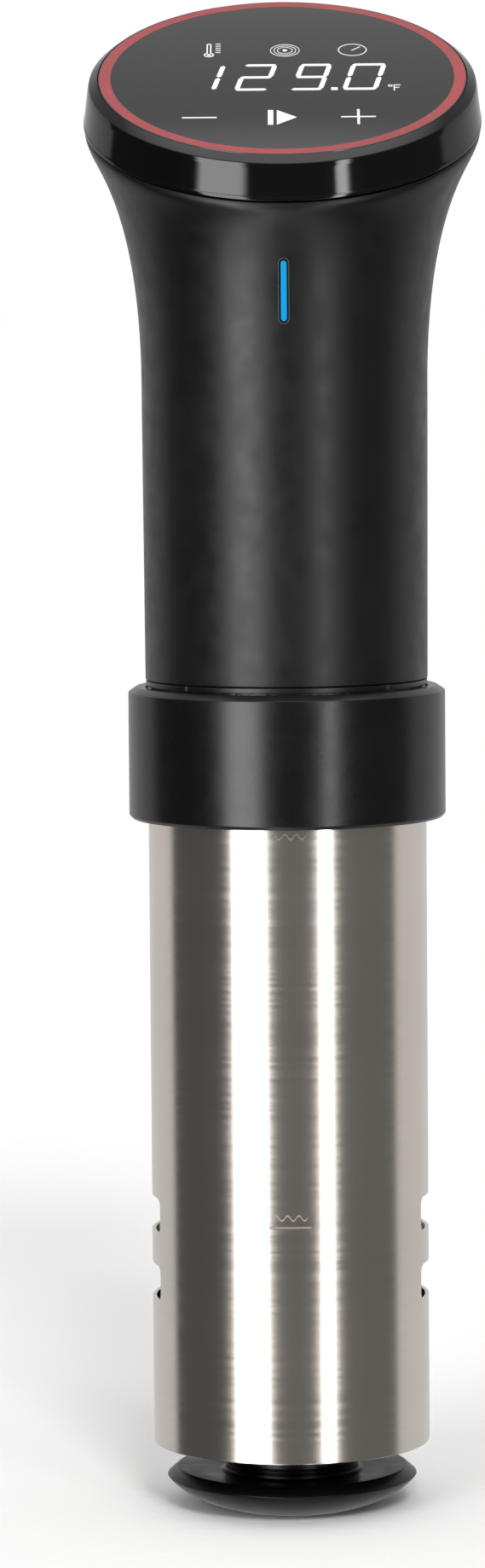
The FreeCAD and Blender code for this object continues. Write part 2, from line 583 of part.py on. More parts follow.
def chassis():
    """Frame, screws and boards inside the handle."""
    wing = "rail_x + rail_wall"
    back = "rail_y + rail_wall"
    parts = [sleeve("frame_ring", "frame_inside", "plate_radius", "plate_top", "frame_foot"),
             sleeve("frame_bridge", "bridge_inside", "plate_radius", "bridge_bottom", "bridge_top")]
    for side in (("rail_x", wing), ("-(%s)" % wing, "-rail_x")):
        parts.append(block("back_rail", (side[0], "rail_y", "plate_top"), (side[1], back, "frame_top")))
        parts.append(block("front_rail", (side[0], "-(%s)" % back, "plate_top"),
                           (side[1], "-rail_y", "bridge_top")))
    parts.append(block("frame_tab", ("-radio_width", "-radio_y - 2", "bridge_bottom"),
                       ("radio_width", "-radio_y", "light_z + 6")))
    parts.append(block("frame_peg", ("-3", "-straight_radius + led_depth + led_wall", "light_z - 4"),
                       ("3", "-radio_y - 1", "light_z + 4")))
    slot = block("board_slot", ("-rail_x", "power_y - 0.3", "bridge_bottom - 1"),
                 ("rail_x", "power_y + board_wall + 0.3", "bridge_top + 1"))
    holes = [rod("frame_screw_hole", "screw_radius + hole_play", "plate_top - 1", "frame_foot + 1",
                 *polar("screw_circle", angle)) for angle in around(4)]
    keep("chassis_frame", cut("chassis_frame", fuse("frame_solid", parts), [slot] + holes))
    screws = []
    for angle in around(4):
        place = polar("screw_circle", angle)
        shank = rod("frame_shank", "screw_radius", "flange_step + 1", "frame_foot", *place)
        head = rod("frame_head", "1.8 * screw_radius", "frame_foot", "frame_foot + 1.8", *place)
        screws.append(fuse("frame_screw", [shank, head]))
    keep("chassis_screws", group("chassis_screws", screws))
    keep("power_board", block("power_board", ("-power_width / 2", "power_y", "power_bottom"),
                              ("power_width / 2", "power_y + board_wall", "frame_top")))
    keep("bulk_capacitor", rod("bulk_capacitor", "capacitor_radius", "parts_bottom", "capacitor_top",
                               "-capacitor_x", "power_y - capacitor_radius - 0.1"))
    keep("power_transformer", block("power_transformer", (
        "block_x", "power_y - transformer_size", "parts_bottom"),
        ("block_x + transformer_size", "power_y", "transformer_top")))
    keep("heater_relay", block("heater_relay", ("block_x", "power_y - relay_depth", "relay_bottom"),
                               ("block_x + relay_width", "power_y", "relay_top")))
    keep("terminal_block", block("terminal_block", (
        "-terminal_x", "power_y - terminal_depth", "terminal_bottom"),
        ("terminal_width - terminal_x", "power_y", "frame_top - 0.5")))
    keep("wireless_board", block("wireless_board", ("-radio_width", "-radio_y", "parts_bottom + 1"),
                                 ("radio_width", "-radio_y + 1", "radio_top")))


# ---------------------------------------------------------------- head

def head():
    """Tilted head: band, glass, coloured ring and display parts."""
    keep("display_glass", head_disc("display_glass", "glass_radius", "0", "glass_wall"))
    keep("accent_ring", head_ring("accent_ring", "accent_inside", "accent_outside", "glass_wall",
                                  "glass_wall + film"))
    keep("display_filter", head_disc("display_filter", "accent_inside - 0.1", "glass_wall",
                                     "glass_wall + film"))
    low = primitive("Circle", "band_low", Radius="band_radius")
    turn(low, X_AXIS, value("seam_tilt"))
    low.setExpression("Placement.Rotation.Angle", bound("seam_tilt"))
    move(low, "0", "seam_y - seam_gap * sin(seam_tilt)", "seam_z + seam_gap * cos(seam_tilt)")
    middle = in_head(primitive("Circle", "band_middle", Radius="bevel_radius"), "bevel_drop")
    top = in_head(primitive("Circle", "band_top", Radius="glass_radius + 2 * glass_play"), "0")
    band = doc.addObject("Part::Loft", "band_solid")
    band.Sections = [low, middle, top]
    band.Solid = True
    band.Ruled = True
    keep("head_band", cut("head_band", band, [
        head_disc("glass_seat", "glass_radius + glass_play", "-1", "glass_wall + film + 0.05"),
        head_disc("ledge_bore", "ledge_radius", "-1", "30"),
        head_disc("band_bore", "band_inside", "ledge_bottom", "30")]))
    keep("display_board", head_disc("display_board", "board_radius", "board_depth",
                                    "board_depth + board_wall"))
    module = primitive("Box", "digit_module", Length="module_width",
                       Width="module_height", Height="board_depth - 2.3")
    keep("digit_module", in_head(module, "board_depth", "-20", "-9.5"))
    keep("buzzer", head_disc("buzzer", "buzzer_radius", "board_depth + board_wall",
                             "board_depth + board_wall + buzzer_wall", "12", "14"))
    shelf = head_ring("carrier_shelf", "carrier_inside", "carrier_outside",
                      "board_depth + board_wall", "carrier_depth")
    rim = head_ring("carrier_rim", "board_radius + 0.4", "carrier_outside", "ledge_bottom",
                    "carrier_depth")
    screws = []
    holes = []
    for angle in around(4, 45):
        across, up = polar("(carrier_outside - 1.3)", angle)
        holes.append(head_disc("carrier_hole", "0.85", "ledge_bottom - 1", "carrier_depth + 1",
                               across, up))
        shank = head_disc("display_shank", "0.8", "ledge_bottom", "carrier_depth", across, up)
        top_disc = head_disc("display_head", "1.3", "carrier_depth", "carrier_depth + 1", across, up)
        screws.append(fuse("display_screw", [shank, top_disc]))
    keep("display_carrier", cut("display_carrier", fuse("carrier_solid", [shelf, rim]), holes))
    keep("display_screws", group("display_screws", screws))
    gasket = primitive("Torus", "head_gasket", Radius1="seam_radius - handle_wall / 2",
                       Radius2="seam_gap / 2")
    turn(gasket, X_AXIS, value("seam_tilt"))
    gasket.setExpression("Placement.Rotation.Angle", bound("seam_tilt"))
    keep("head_gasket", move(gasket, "0", "seam_y - seam_gap / 2 * sin(seam_tilt)",
                             "seam_z + seam_gap / 2 * cos(seam_tilt)"))


# ---------------------------------------------------------------- pot clamp

def clamp_ring():
    """Ring around the skirt with a boss for the bracket, and its sliding liner."""
    ring = turned("ring_body", [
        ("lip_radius", "clamp_bottom"), ("clamp_radius - bottom_chamfer", "clamp_bottom"),
        ("clamp_radius", "clamp_bottom + bottom_chamfer"), ("clamp_radius", "clamp_top - top_drop"),
        ("clamp_radius - top_chamfer", "clamp_top"), ("lip_radius", "clamp_top"),
        ("lip_radius", "clamp_top - lip_height"), ("groove_inside", "clamp_top - lip_height"),
        ("groove_inside", "clamp_bottom + lip_height"), ("lip_radius", "clamp_bottom + lip_height")])
    boss = cut("ring_boss", block("boss_block", ("-boss_width / 2", "clamp_radius - 5", "boss_bottom"),
                                  ("boss_width / 2", "boss_back", "boss_top")),
               [rod("boss_bore", "clamp_radius - 1", "clamp_bottom", "clamp_top")])
    holes = [cross_rod("boss_hole", "bracket_shank + 0.1", "clamp_radius", "boss_back + 1", level)
             for level in ("low_screw", "high_screw")]
    keep("clamp_ring", cut("clamp_ring", fuse("ring_solid", [ring, boss]), holes))
    keep("clamp_liner", sleeve("clamp_liner", "liner_inside", "liner_outside",
                               "clamp_bottom + lip_height + 0.2", "clamp_top - lip_height - 0.2"))


def clamp_bracket():
    """Hook that goes over the pot's rim, with its screws and rubber pad."""
    jaw_back = "boss_back + jaw_wall"
    half = "boss_width / 2"
    parts = [
        block("inner_jaw", ("-" + half, "boss_back", "jaw_bottom"), (half, jaw_back, "boss_top")),
        block("jaw_bridge", ("-" + half, "boss_back", "bridge_low"), (half, "arm_back", "bridge_high")),
        block("outer_arm", ("-" + half, "arm_front", "arm_bottom"), (half, "arm_back", "bridge_high")),
        cross_rod("nut_boss", "nut_radius", "arm_front", "nut_back", "screw_z")]
    holes = [cross_rod("nut_thread", "thread_radius + hole_play", "arm_front - 1", "nut_back + 1",
                       "screw_z")]
    holes += [cross_rod("bracket_hole", "bracket_shank + 0.15", "boss_back - 1", jaw_back + " + 1",
                        level) for level in ("low_screw", "high_screw")]
    keep("clamp_bracket", cut("clamp_bracket", fuse("bracket_solid", parts), holes))
    screws = []
    for level in ("low_screw", "high_screw"):
        shank = cross_rod("bracket_shank", "bracket_shank", "clamp_radius + 1", jaw_back, level)
        head = cross_rod("bracket_head", "bracket_head", jaw_back,
                         jaw_back + " + bracket_head_wall", level)
        screws.append(fuse("bracket_screw", [shank, head]))
    keep("bracket_screws", group("bracket_screws", screws))
    keep("jaw_pad", block("jaw_pad", ("-%s + 2" % half, jaw_back, "jaw_bottom + 3"),
                          (half + " - 2", jaw_back + " + rubber_wall", "bridge_low - 3")))


def clamp_screw():
    """Thumb screw along Y with its knob and swivelling pressure pad."""
    shank = turned("screw_body", [("0", "pad_front + pad_wall"), ("2.4", "pad_front + pad_wall"),
                                  ("2.4", "pad_back"), ("thread_radius", "pad_back + 0.6"),
                                  ("thread_radius", "screw_end"), ("0", "screw_end")])
    sketch = new_sketch(shank, "thread_notch", "XZ_Plane")
    draw(sketch, [("thread_radius + 0.2", "thread_start"),
                  ("thread_radius - thread_depth", "thread_start + thread_pitch / 2"),
                  ("thread_radius + 0.2", "thread_start + thread_pitch")])
    groove = shank.newObject("PartDesign::Groove", "thread_groove")
    groove.Profile = sketch
    groove.ReferenceAxis = (sketch, ["V_Axis"])
    groove.Angle = 360
    doc.recompute()
    pattern = shank.newObject("PartDesign::LinearPattern", "thread_pattern")
    pattern.Originals = [groove]
    pattern.Direction = (sketch, ["V_Axis"])
    pattern.setExpression("Length", bound("thread_pitch * (thread_turns - 1)"))
    pattern.setExpression("Occurrences", bound("thread_turns"))
    shank.Tip = pattern
    keep("clamp_screw", move(turn(shank, X_AXIS, -90), z="screw_z"))
    pad = turned("pad_body", [
        ("0", "pad_front"), ("pad_radius", "pad_front"), ("pad_radius", "pad_front + pad_wall - 0.8"),
        ("pad_radius - 0.8", "pad_front + pad_wall"), ("4.2", "pad_back"), ("2.5", "pad_back"),
        ("2.5", "pad_front + pad_wall - 0.1"), ("0", "pad_front + pad_wall - 0.1")])
    keep("clamp_pad", move(turn(pad, X_AXIS, -90), z="screw_z"))
    knob = turned("knob_body", [
        ("0", "screw_end"), ("thread_radius", "screw_end"), ("thread_radius", "knob_front"),
        ("thread_radius + 3", "knob_front"), ("knob_radius - 1", "knob_front + 2"),
        ("knob_radius", "knob_front + 3"), ("knob_radius", "knob_back - 1"),
        ("knob_radius - 1", "knob_back"), ("0", "knob_back")])
    doc.recompute()
    lobe = new_sketch(knob, "knob_lobe", "XY_Plane")
    lobe.addGeometry(Part.Circle(Vector(value("knob_radius + 1.6"), 0, 0), Z_AXIS, value("lobe_radius")),
                     False)
    lobe.addConstraint(Sketcher.Constraint("PointOnObject", 0, 3, -1))
    reach = lobe.addConstraint(Sketcher.Constraint("DistanceX", -1, 1, 0, 3, value("knob_radius + 1.6")))
    lobe.setExpression("Constraints[%d]" % reach, bound("knob_radius + 1.6"))
    round_size = lobe.addConstraint(Sketcher.Constraint("Radius", 0, value("lobe_radius")))
    lobe.setExpression("Constraints[%d]" % round_size, bound("lobe_radius"))
    scoop = knob.newObject("PartDesign::Pocket", "knob_scoop")
    scoop.Profile = lobe
    scoop.Type = "ThroughAll"
    scoop.Midplane = True
    doc.recompute()
    ring = knob.newObject("PartDesign::PolarPattern", "knob_scoops")
    ring.Originals = [scoop]
    ring.Axis = (lobe, ["N_Axis"])
    ring.Angle = 360
    ring.setExpression("Occurrences", bound("knob_lobes"))
    knob.Tip = ring
    keep("clamp_knob", move(turn(knob, X_AXIS, -90), z="screw_z"))


# ---------------------------------------------------------------- build, check and write

for make in (base_cap, pump_housing, impeller, steel_skirt, heater_flange, heater_element,
             probes_and_supports, motor, handle, chassis, head, clamp_ring, clamp_bracket, clamp_screw):
    make()
doc.recompute()

for item in doc.Objects:
    assert "Invalid" not in item.State and "Error" not in item.State, (item.Name, item.State)
for item in nodes:
    assert not item.Shape.isNull() and item.Shape.isValid(), item.Label
    assert item.Shape.Volume > 0, item.Label
for item in nodes:
    item.Shape.exportStep("parts/%s.step" % item.Label)
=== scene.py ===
import json
import math

import bmesh
import bpy
from mathutils import Matrix, Vector


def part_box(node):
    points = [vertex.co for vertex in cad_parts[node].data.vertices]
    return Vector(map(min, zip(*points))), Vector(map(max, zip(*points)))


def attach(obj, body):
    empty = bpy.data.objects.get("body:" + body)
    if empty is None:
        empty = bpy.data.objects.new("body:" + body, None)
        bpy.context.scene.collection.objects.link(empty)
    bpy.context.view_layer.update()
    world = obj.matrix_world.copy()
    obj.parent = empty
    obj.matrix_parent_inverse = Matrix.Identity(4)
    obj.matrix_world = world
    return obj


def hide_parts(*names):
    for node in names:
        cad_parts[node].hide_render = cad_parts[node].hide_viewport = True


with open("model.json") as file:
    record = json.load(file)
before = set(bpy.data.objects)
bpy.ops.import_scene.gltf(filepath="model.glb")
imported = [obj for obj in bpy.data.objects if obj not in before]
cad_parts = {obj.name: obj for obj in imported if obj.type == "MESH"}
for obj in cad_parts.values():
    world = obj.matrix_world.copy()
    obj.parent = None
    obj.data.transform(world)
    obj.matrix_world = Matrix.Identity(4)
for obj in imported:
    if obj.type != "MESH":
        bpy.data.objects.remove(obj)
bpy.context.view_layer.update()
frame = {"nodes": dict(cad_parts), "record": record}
scene = bpy.context.scene
MM = 0.001
TURN = 2 * math.pi


# ---------------------------------------------------------------- places read from the frame

def low(node):
    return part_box(node)[0]


def high(node):
    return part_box(node)[1]


SKIRT_R = high("steel_skirt").x
SKIRT_WALL = 0.8 * MM
SKIRT_BOTTOM = low("steel_skirt").z
SKIRT_TOP = high("steel_skirt").z
CLAMP_R = high("clamp_ring").x
CLAMP_BOTTOM = low("clamp_ring").z
CLAMP_TOP = high("clamp_ring").z
RING_R = high("handle_end_ring").x
RING_BOTTOM = low("handle_end_ring").z
RING_TOP = high("handle_end_ring").z
CAP_R = high("base_cap").x
HANDLE_BOTTOM = low("handle_shell").z
GLASS_R = high("display_glass").x
TOP = high("display_glass").z

# the handle's curve: straight to a height, then a cubic flare whose circles lean towards the seam
STRAIGHT_TOP = 240 * MM
BOTTOM_R = 30.32 * MM
FLARE_Z = (STRAIGHT_TOP, 282.3 * MM, 291.2 * MM, 297.6 * MM)
FLARE_R = (30.6 * MM, 30.2 * MM, 42.1 * MM, 42.25 * MM)
SEAM_TILT = math.radians(24)
SEAM_Y = 0.6 * MM
SEAM_GAP = 0.5 * MM
HANDLE_WALL = 2.2 * MM

# the head
HEAD_TILT = math.radians(26)
GLASS_CENTRE = Vector((0, -1.0 * MM, TOP - GLASS_R * math.sin(HEAD_TILT)))
BAND_R = 42.5 * MM
BEVEL_R = 41.3 * MM
BEVEL_DROP = 1.35 * MM
SEAM_CENTRE = Vector((0, SEAM_Y - SEAM_GAP * math.sin(SEAM_TILT),
                      FLARE_Z[3] + SEAM_GAP * math.cos(SEAM_TILT)))


# ---------------------------------------------------------------- mesh helpers

def softened(corners, steps=4):
    """Corners given as (x, y, radius) become an outline with rounded corners."""
    outline = []
    for i, (x, y, radius) in enumerate(corners):
        here = Vector((x, y))
        if radius == 0:
            outline.append((x, y))
            continue
        before = Vector(corners[i - 1][:2]) - here
        after = Vector(corners[(i + 1) % len(corners)][:2]) - here
        reach = radius / math.tan(before.angle(after) / 2)
        reach = min(reach, 0.48 * before.length, 0.48 * after.length)
        start = here + before.normalized() * reach
        end = here + after.normalized() * reach
        for k in range(steps + 1):
            t = k / steps
            spot = start * (1 - t) ** 2 + here * 2 * t * (1 - t) + end * t ** 2
            outline.append((spot.x, spot.y))
    return outline


def rounded_box(half_width, bottom, top, corner, steps):
    """A rectangle with rounded corners, centred across."""
    return softened([(-half_width, bottom, corner), (half_width, bottom, corner),
                     (half_width, top, corner), (-half_width, top, corner)], steps)


def finish_mesh(name, mesh, material, sharp=32):
    """Clean a bmesh, shade it smooth with sharp edges kept, and make it an object."""
    bmesh.ops.remove_doubles(mesh, verts=mesh.verts, dist=1e-7)
    bmesh.ops.recalc_face_normals(mesh, faces=mesh.faces)
    data = bpy.data.meshes.new(name)
    mesh.to_mesh(data)
    mesh.free()
    data.shade_smooth()
    data.set_sharp_from_angle(angle=math.radians(sharp))
    piece = bpy.data.objects.new(name, data)
    scene.collection.objects.link(piece)
    if material:
        data.materials.append(material)
    return piece


def loops_to_piece(name, loops, material, closed=True, capped=False, sharp=32):
    """Skin a list of equal rings of points; a ring of one point closes the skin there."""
    mesh = bmesh.new()
    rings = [[mesh.verts.new(point) for point in loop] for loop in loops]
    pairs = list(zip(rings, rings[1:]))
    if closed:
        pairs.append((rings[-1], rings[0]))
    for one, two in pairs:
        count = max(len(one), len(two))
        for i in range(count):
            j = (i + 1) % count
            if len(one) == 1:
                mesh.faces.new((one[0], two[j], two[i]))
            elif len(two) == 1:
                mesh.faces.new((one[i], one[j], two[0]))
            else:
                mesh.faces.new((one[i], one[j], two[j], two[i]))
    if capped:
        mesh.faces.new(rings[0])
        mesh.faces.new(rings[-1])
    return finish_mesh(name, mesh, material, sharp)


def upright(radius, height, angle):
    """A point on a part turned about Z."""
    return (radius * math.cos(angle), radius * math.sin(angle), height)


def along_y(centre_z):
    """Points for a part turned about an axis along Y at a height."""
    def place(radius, reach, angle):
        return (radius * math.cos(angle), reach, centre_z + radius * math.sin(angle))
    return place


def lathe(name, outline, material, place=upright, segments=192, closed=True, sharp=32, shape=None):
    """Turn an outline of (radius, height); shape(angle, radius, height) may change the radius."""
    loops = []
    for radius, height in outline:
        if radius == 0:
            loops.append([place(0, height, 0)])
            continue
        ring = []
        for k in range(segments):
            angle = TURN * k / segments
            reach = shape(angle, radius, height) if shape else radius
            ring.append(place(reach, height, angle))
        loops.append(ring)
    return loops_to_piece(name, loops, material, closed=closed, sharp=sharp)


def prism(name, outline, near, far, material, point):
    """Extrude a flat outline between two depths; point(x, y, depth) gives its place."""
    loops = [[point(x, y, depth) for x, y in outline] for depth in (near, far)]
    return loops_to_piece(name, loops, material, closed=False, capped=True)


def apply_modifiers(piece):
    """Replace a piece's mesh with its evaluated one."""
    bpy.context.view_layer.update()
    graph = bpy.context.evaluated_depsgraph_get()
    data = bpy.data.meshes.new_from_object(piece.evaluated_get(graph))
    piece.modifiers.clear()
    piece.data = data
    return piece


def boolean(piece, operation, tools):
    """Cut or join with other pieces, which are then removed."""
    for tool in tools:
        step = piece.modifiers.new("boolean", "BOOLEAN")
        step.operation = operation
        step.solver = "EXACT"
        step.object = tool
    apply_modifiers(piece)
    for tool in tools:
        bpy.data.objects.remove(tool)
    return piece


def bevel(piece, width, segments=3, angle=35):
    """Round the edges of a piece and keep its flats flat."""
    step = piece.modifiers.new("bevel", "BEVEL")
    step.width = width
    step.segments = segments
    step.limit_method = "ANGLE"
    step.angle_limit = math.radians(angle)
    step.harden_normals = True
    apply_modifiers(piece)
    return piece


def resharp(piece, angle=32):
    """Shade smooth again after a boolean."""
    piece.data.shade_smooth()
    piece.data.set_sharp_from_angle(angle=math.radians(angle))
    return piece


def radial_normals(piece, radius):
    """Exact round normals on the walls of an upright tube, flat ones elsewhere."""
    data = piece.data
    normals = []
    for face in data.polygons:
        for index in face.vertices:
            spot = data.vertices[index].co
            out = Vector((spot.x, spot.y, 0))
            if out.length > 0.5 * radius and abs(face.normal.dot(out.normalized())) > 0.97:
                side = 1 if face.normal.dot(out) > 0 else -1
                normals.append(out.normalized() * side)
            else:
                normals.append(face.normal.copy())
    data.normals_split_custom_set(normals)
    return piece


def place_piece(piece, body, nodes=()):
    """Ride a piece on its body, standing for CAD nodes."""
    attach(piece, body)
    if nodes:
        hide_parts(*nodes)
    return piece


# ---------------------------------------------------------------- materials

def principled(material):
    return material.node_tree.nodes["Principled BSDF"]


def new_material(name, color, roughness, metallic=0.0, **sockets):
    """A Principled material; sockets are set by their names with underscores for spaces."""
    material = bpy.data.materials.new(name)
    material.use_nodes = True
    shader = principled(material)
    shader.inputs["Base Color"].default_value = (*color, 1)
    shader.inputs["Roughness"].default_value = roughness
    shader.inputs["Metallic"].default_value = metallic
    for key, amount in sockets.items():
        shader.inputs[key.replace("_", " ")].default_value = amount
    return material


def node(material, kind, **values):
    """Add a shader node and set its inputs or properties by name."""
    item = material.node_tree.nodes.new("ShaderNode" + kind)
    for key, amount in values.items():
        if hasattr(item, key):
            setattr(item, key, amount)
        else:
            item.inputs[key.replace("_", " ")].default_value = amount
    return item


def link(material, source, output, target, socket):
    material.node_tree.links.new(source.outputs[output], target.inputs[socket])


def noise_at(material, scale, stretch=(1, 1, 1), detail=3.0, rough=0.5):
    """Noise in the row frame; scale is in features per metre."""
    place = node(material, "TexCoord")
    fit = node(material, "Mapping")
    fit.inputs["Scale"].default_value = stretch
    noise = node(material, "TexNoise", Scale=scale, Detail=detail, Roughness=rough)
    link(material, place, "Object", fit, "Vector")
    link(material, fit, "Vector", noise, "Vector")
    return noise


def grain(material, scale, depth, stretch=(1, 1, 1), detail=3.0, strength=1.0):
    """Bump from noise; depth in metres."""
    noise = noise_at(material, scale, stretch, detail)
    bump = node(material, "Bump", Strength=strength, Distance=depth)
    link(material, noise, "Fac", bump, "Height")
    shader = principled(material)
    if shader.inputs["Normal"].is_linked:
        earlier = shader.inputs["Normal"].links[0].from_node
        link(material, earlier, "Normal", bump, "Normal")
    link(material, bump, "Normal", shader, "Normal")
    return material


def ranged(material, scale, floor, ceiling, socket, stretch=(1, 1, 1), detail=4.0):
    """Drive a scalar socket from noise between two values."""
    noise = noise_at(material, scale, stretch, detail)
    fit = node(material, "MapRange")
    fit.inputs["From Min"].default_value = 0.3
    fit.inputs["From Max"].default_value = 0.7
    fit.inputs["To Min"].default_value = floor
    fit.inputs["To Max"].default_value = ceiling
    link(material, noise, "Fac", fit, "Value")
    link(material, fit, "Result", principled(material), socket)
    return material


def mottled(material, scale, dark, light, stretch=(1, 1, 1), detail=4.0):
    """Base colour that drifts between two colours."""
    noise = noise_at(material, scale, stretch, detail)
    ramp = node(material, "ValToRGB")
    ramp.color_ramp.elements[0].position = 0.3
    ramp.color_ramp.elements[0].color = (*dark, 1)
    ramp.color_ramp.elements[1].position = 0.7
    ramp.color_ramp.elements[1].color = (*light, 1)
    link(material, noise, "Fac", ramp, "Fac")
    link(material, ramp, "Color", principled(material), "Base Color")
    return material


def moulded(name, color, roughness, grain_size, depth, spread=0.05, **sockets):
    """Moulded plastic: fine grain, uneven gloss and a trace of colour drift."""
    material = new_material(name, color, roughness, **sockets)
    mottled(material, 60, [0.85 * c for c in color], [1.15 * c for c in color])
    ranged(material, 220, roughness - spread, roughness + spread, "Roughness")
    grain(material, 1 / grain_size, depth)
    return material


def metal(name, color, roughness, stretch, depth, spread=0.06, lines=1500):
    """Metal with fine lines across one direction."""
    material = new_material(name, color, roughness, metallic=1.0)
    mottled(material, 25, [0.93 * c for c in color], color, stretch=stretch)
    ranged(material, lines * 0.3, roughness - spread, roughness + spread, "Roughness", stretch)
    grain(material, lines, depth, stretch, detail=2.0)
    return material


MATTE_BLACK = moulded("handle_plastic", (0.0035, 0.0035, 0.0038), 0.38, 0.0004, 0.000013,
                      Specular_IOR_Level=0.42)
GLOSS_BLACK = moulded("band_plastic", (0.0006, 0.0006, 0.0008), 0.06, 0.004, 0.000004, spread=0.015)
CAP_BLACK = moulded("cap_plastic", (0.0012, 0.0012, 0.0014), 0.3, 0.0008, 0.000006, spread=0.04,
                    Specular_IOR_Level=0.22)
CLAMP_BLACK = moulded("clamp_plastic", (0.0018, 0.0018, 0.002), 0.27, 0.0005, 0.000007, spread=0.02)
RING_BLACK = moulded("ring_plastic", (0.0025, 0.0025, 0.0027), 0.33, 0.0004, 0.00001)
# the slot rim's grey is lighter than the shell's black plastic: a painted highlight on the slot's edge
RIM_PAINTED_HIGHLIGHT = moulded("slot_edge_painted_highlight", (0.03, 0.03, 0.032), 0.3, 0.0004, 0.000006)
RUBBER = moulded("rubber", (0.016, 0.016, 0.016), 0.72, 0.0003, 0.00002)
STEEL = metal("brushed_steel", (0.78, 0.72, 0.655), 0.235, (0.012, 0.012, 1), 0.0000016,
              spread=0.03, lines=5000)
INNER_STEEL = metal("inner_steel", (0.6, 0.58, 0.56), 0.3, (1, 1, 0.15), 0.000006)
SCREW_STEEL = metal("screw_steel", (0.62, 0.62, 0.61), 0.24, (1, 0.2, 1), 0.000004)
principled(STEEL).inputs["Anisotropic"].default_value = 0.6
principled(STEEL).inputs["Anisotropic Rotation"].default_value = 0.25
tangent = node(STEEL, "Tangent", direction_type="RADIAL", axis="Z")
link(STEEL, tangent, "Tangent", principled(STEEL), "Tangent")

GLASS = moulded("display_glass_face", (0.0025, 0.0025, 0.003), 0.12, 0.02, 0.000001, spread=0.02,
                Coat_Weight=0.6, Coat_Roughness=0.04)
RED = moulded("accent_print", (0.3, 0.012, 0.016), 0.25, 0.0006, 0.000002, spread=0.04,
              Coat_Weight=1.0, Coat_Roughness=0.05)
MARK = moulded("etched_mark", (0.32, 0.25, 0.2), 0.5, 0.0002, 0.000004, Specular_IOR_Level=0.3)


def glowing(name, color, strength):
    """Lit print or light pipe, slightly uneven as a real one is."""
    material = new_material(name, [0.1 * c for c in color], 0.4, Specular_IOR_Level=0.2)
    shader = principled(material)
    noise = noise_at(material, 900, detail=2.0)
    ramp = node(material, "ValToRGB")
    ramp.color_ramp.elements[0].color = (*[0.9 * c for c in color], 1)
    ramp.color_ramp.elements[1].color = (*color, 1)
    link(material, noise, "Fac", ramp, "Fac")
    link(material, ramp, "Color", shader, "Emission Color")
    shader.inputs["Emission Strength"].default_value = strength
    return material


LIT_WHITE = glowing("lit_icons", (1.0, 1.0, 1.0), 0.95)
LIT_BLUE = glowing("lit_status_light", (0.001, 0.33, 0.72), 1.0)


# ---------------------------------------------------------------- camera and stage

def add_camera():
    """A long lens in front of the object, a little above its middle and looking slightly down."""
    distance = 1.2541
    height = 0.26672
    pitch = math.radians(5.02)
    yaw = math.radians(0.441)
    roll = math.radians(-0.454)
    forward = Vector((-math.sin(yaw) * math.cos(pitch), math.cos(yaw) * math.cos(pitch),
                      -math.sin(pitch)))
    right = Vector((math.cos(yaw), math.sin(yaw), 0))
    up = right.cross(forward)
    across = right * math.cos(roll) + up * math.sin(roll)
    rise = up * math.cos(roll) - right * math.sin(roll)
    data = bpy.data.cameras.new("camera")
    data.lens = 134.36
    data.sensor_width = 36
    data.clip_end = 100
    camera = bpy.data.objects.new("camera", data)
    turn = Matrix((across, rise, -forward)).transposed()
    camera.matrix_world = Matrix.Translation((0, -distance, height)) @ turn.to_4x4()
    scene.collection.objects.link(camera)
    scene.camera = camera


def add_floor():
    """A wide pale floor that the object stands on."""
    material = new_material("floor", (0.86, 0.86, 0.86), 0.9)
    grain(material, 300, 0.0001)
    mesh = bmesh.new()
    bmesh.ops.create_circle(mesh, cap_ends=True, radius=40, segments=64)
    floor = finish_mesh("floor", mesh, material)
    floor.visible_glossy = False


def add_sun():
    """Broad soft light from the front right; its own reflection is left out."""
    data = bpy.data.lights.new("sun", "SUN")
    data.energy = 1.5
    data.angle = math.radians(14)
    lamp = bpy.data.objects.new("sun", data)
    travel = Vector((-0.15, 0.8, -0.62))
    lamp.rotation_euler = travel.to_track_quat("-Z", "Y").to_euler()
    lamp.visible_glossy = False
    scene.collection.objects.link(lamp)


# brightness of the studio seen from the object, by compass angle from the camera's side
BRIGHTEST = 8.5
STUDIO = [(-180, 0.66), (-114, 0.62), (-110, 0.08), (-60, 0.08), (-47, 0.12), (-43.5, 6.0),
          (-22, 6.0), (-18, 0.15), (22, 0.15), (27, 0.2), (28.8, BRIGHTEST), (33, BRIGHTEST),
          (35.5, 0.2), (44, 0.15), (97, 0.14), (102, 0.62), (180, 0.66)]
# brightness overhead, by height of the direction (1 is straight up)
OVERHEAD = ((0.82, 0.42), (0.95, 1.9))
BELOW_SHARE = 0.75
BACKDROP = 1.05


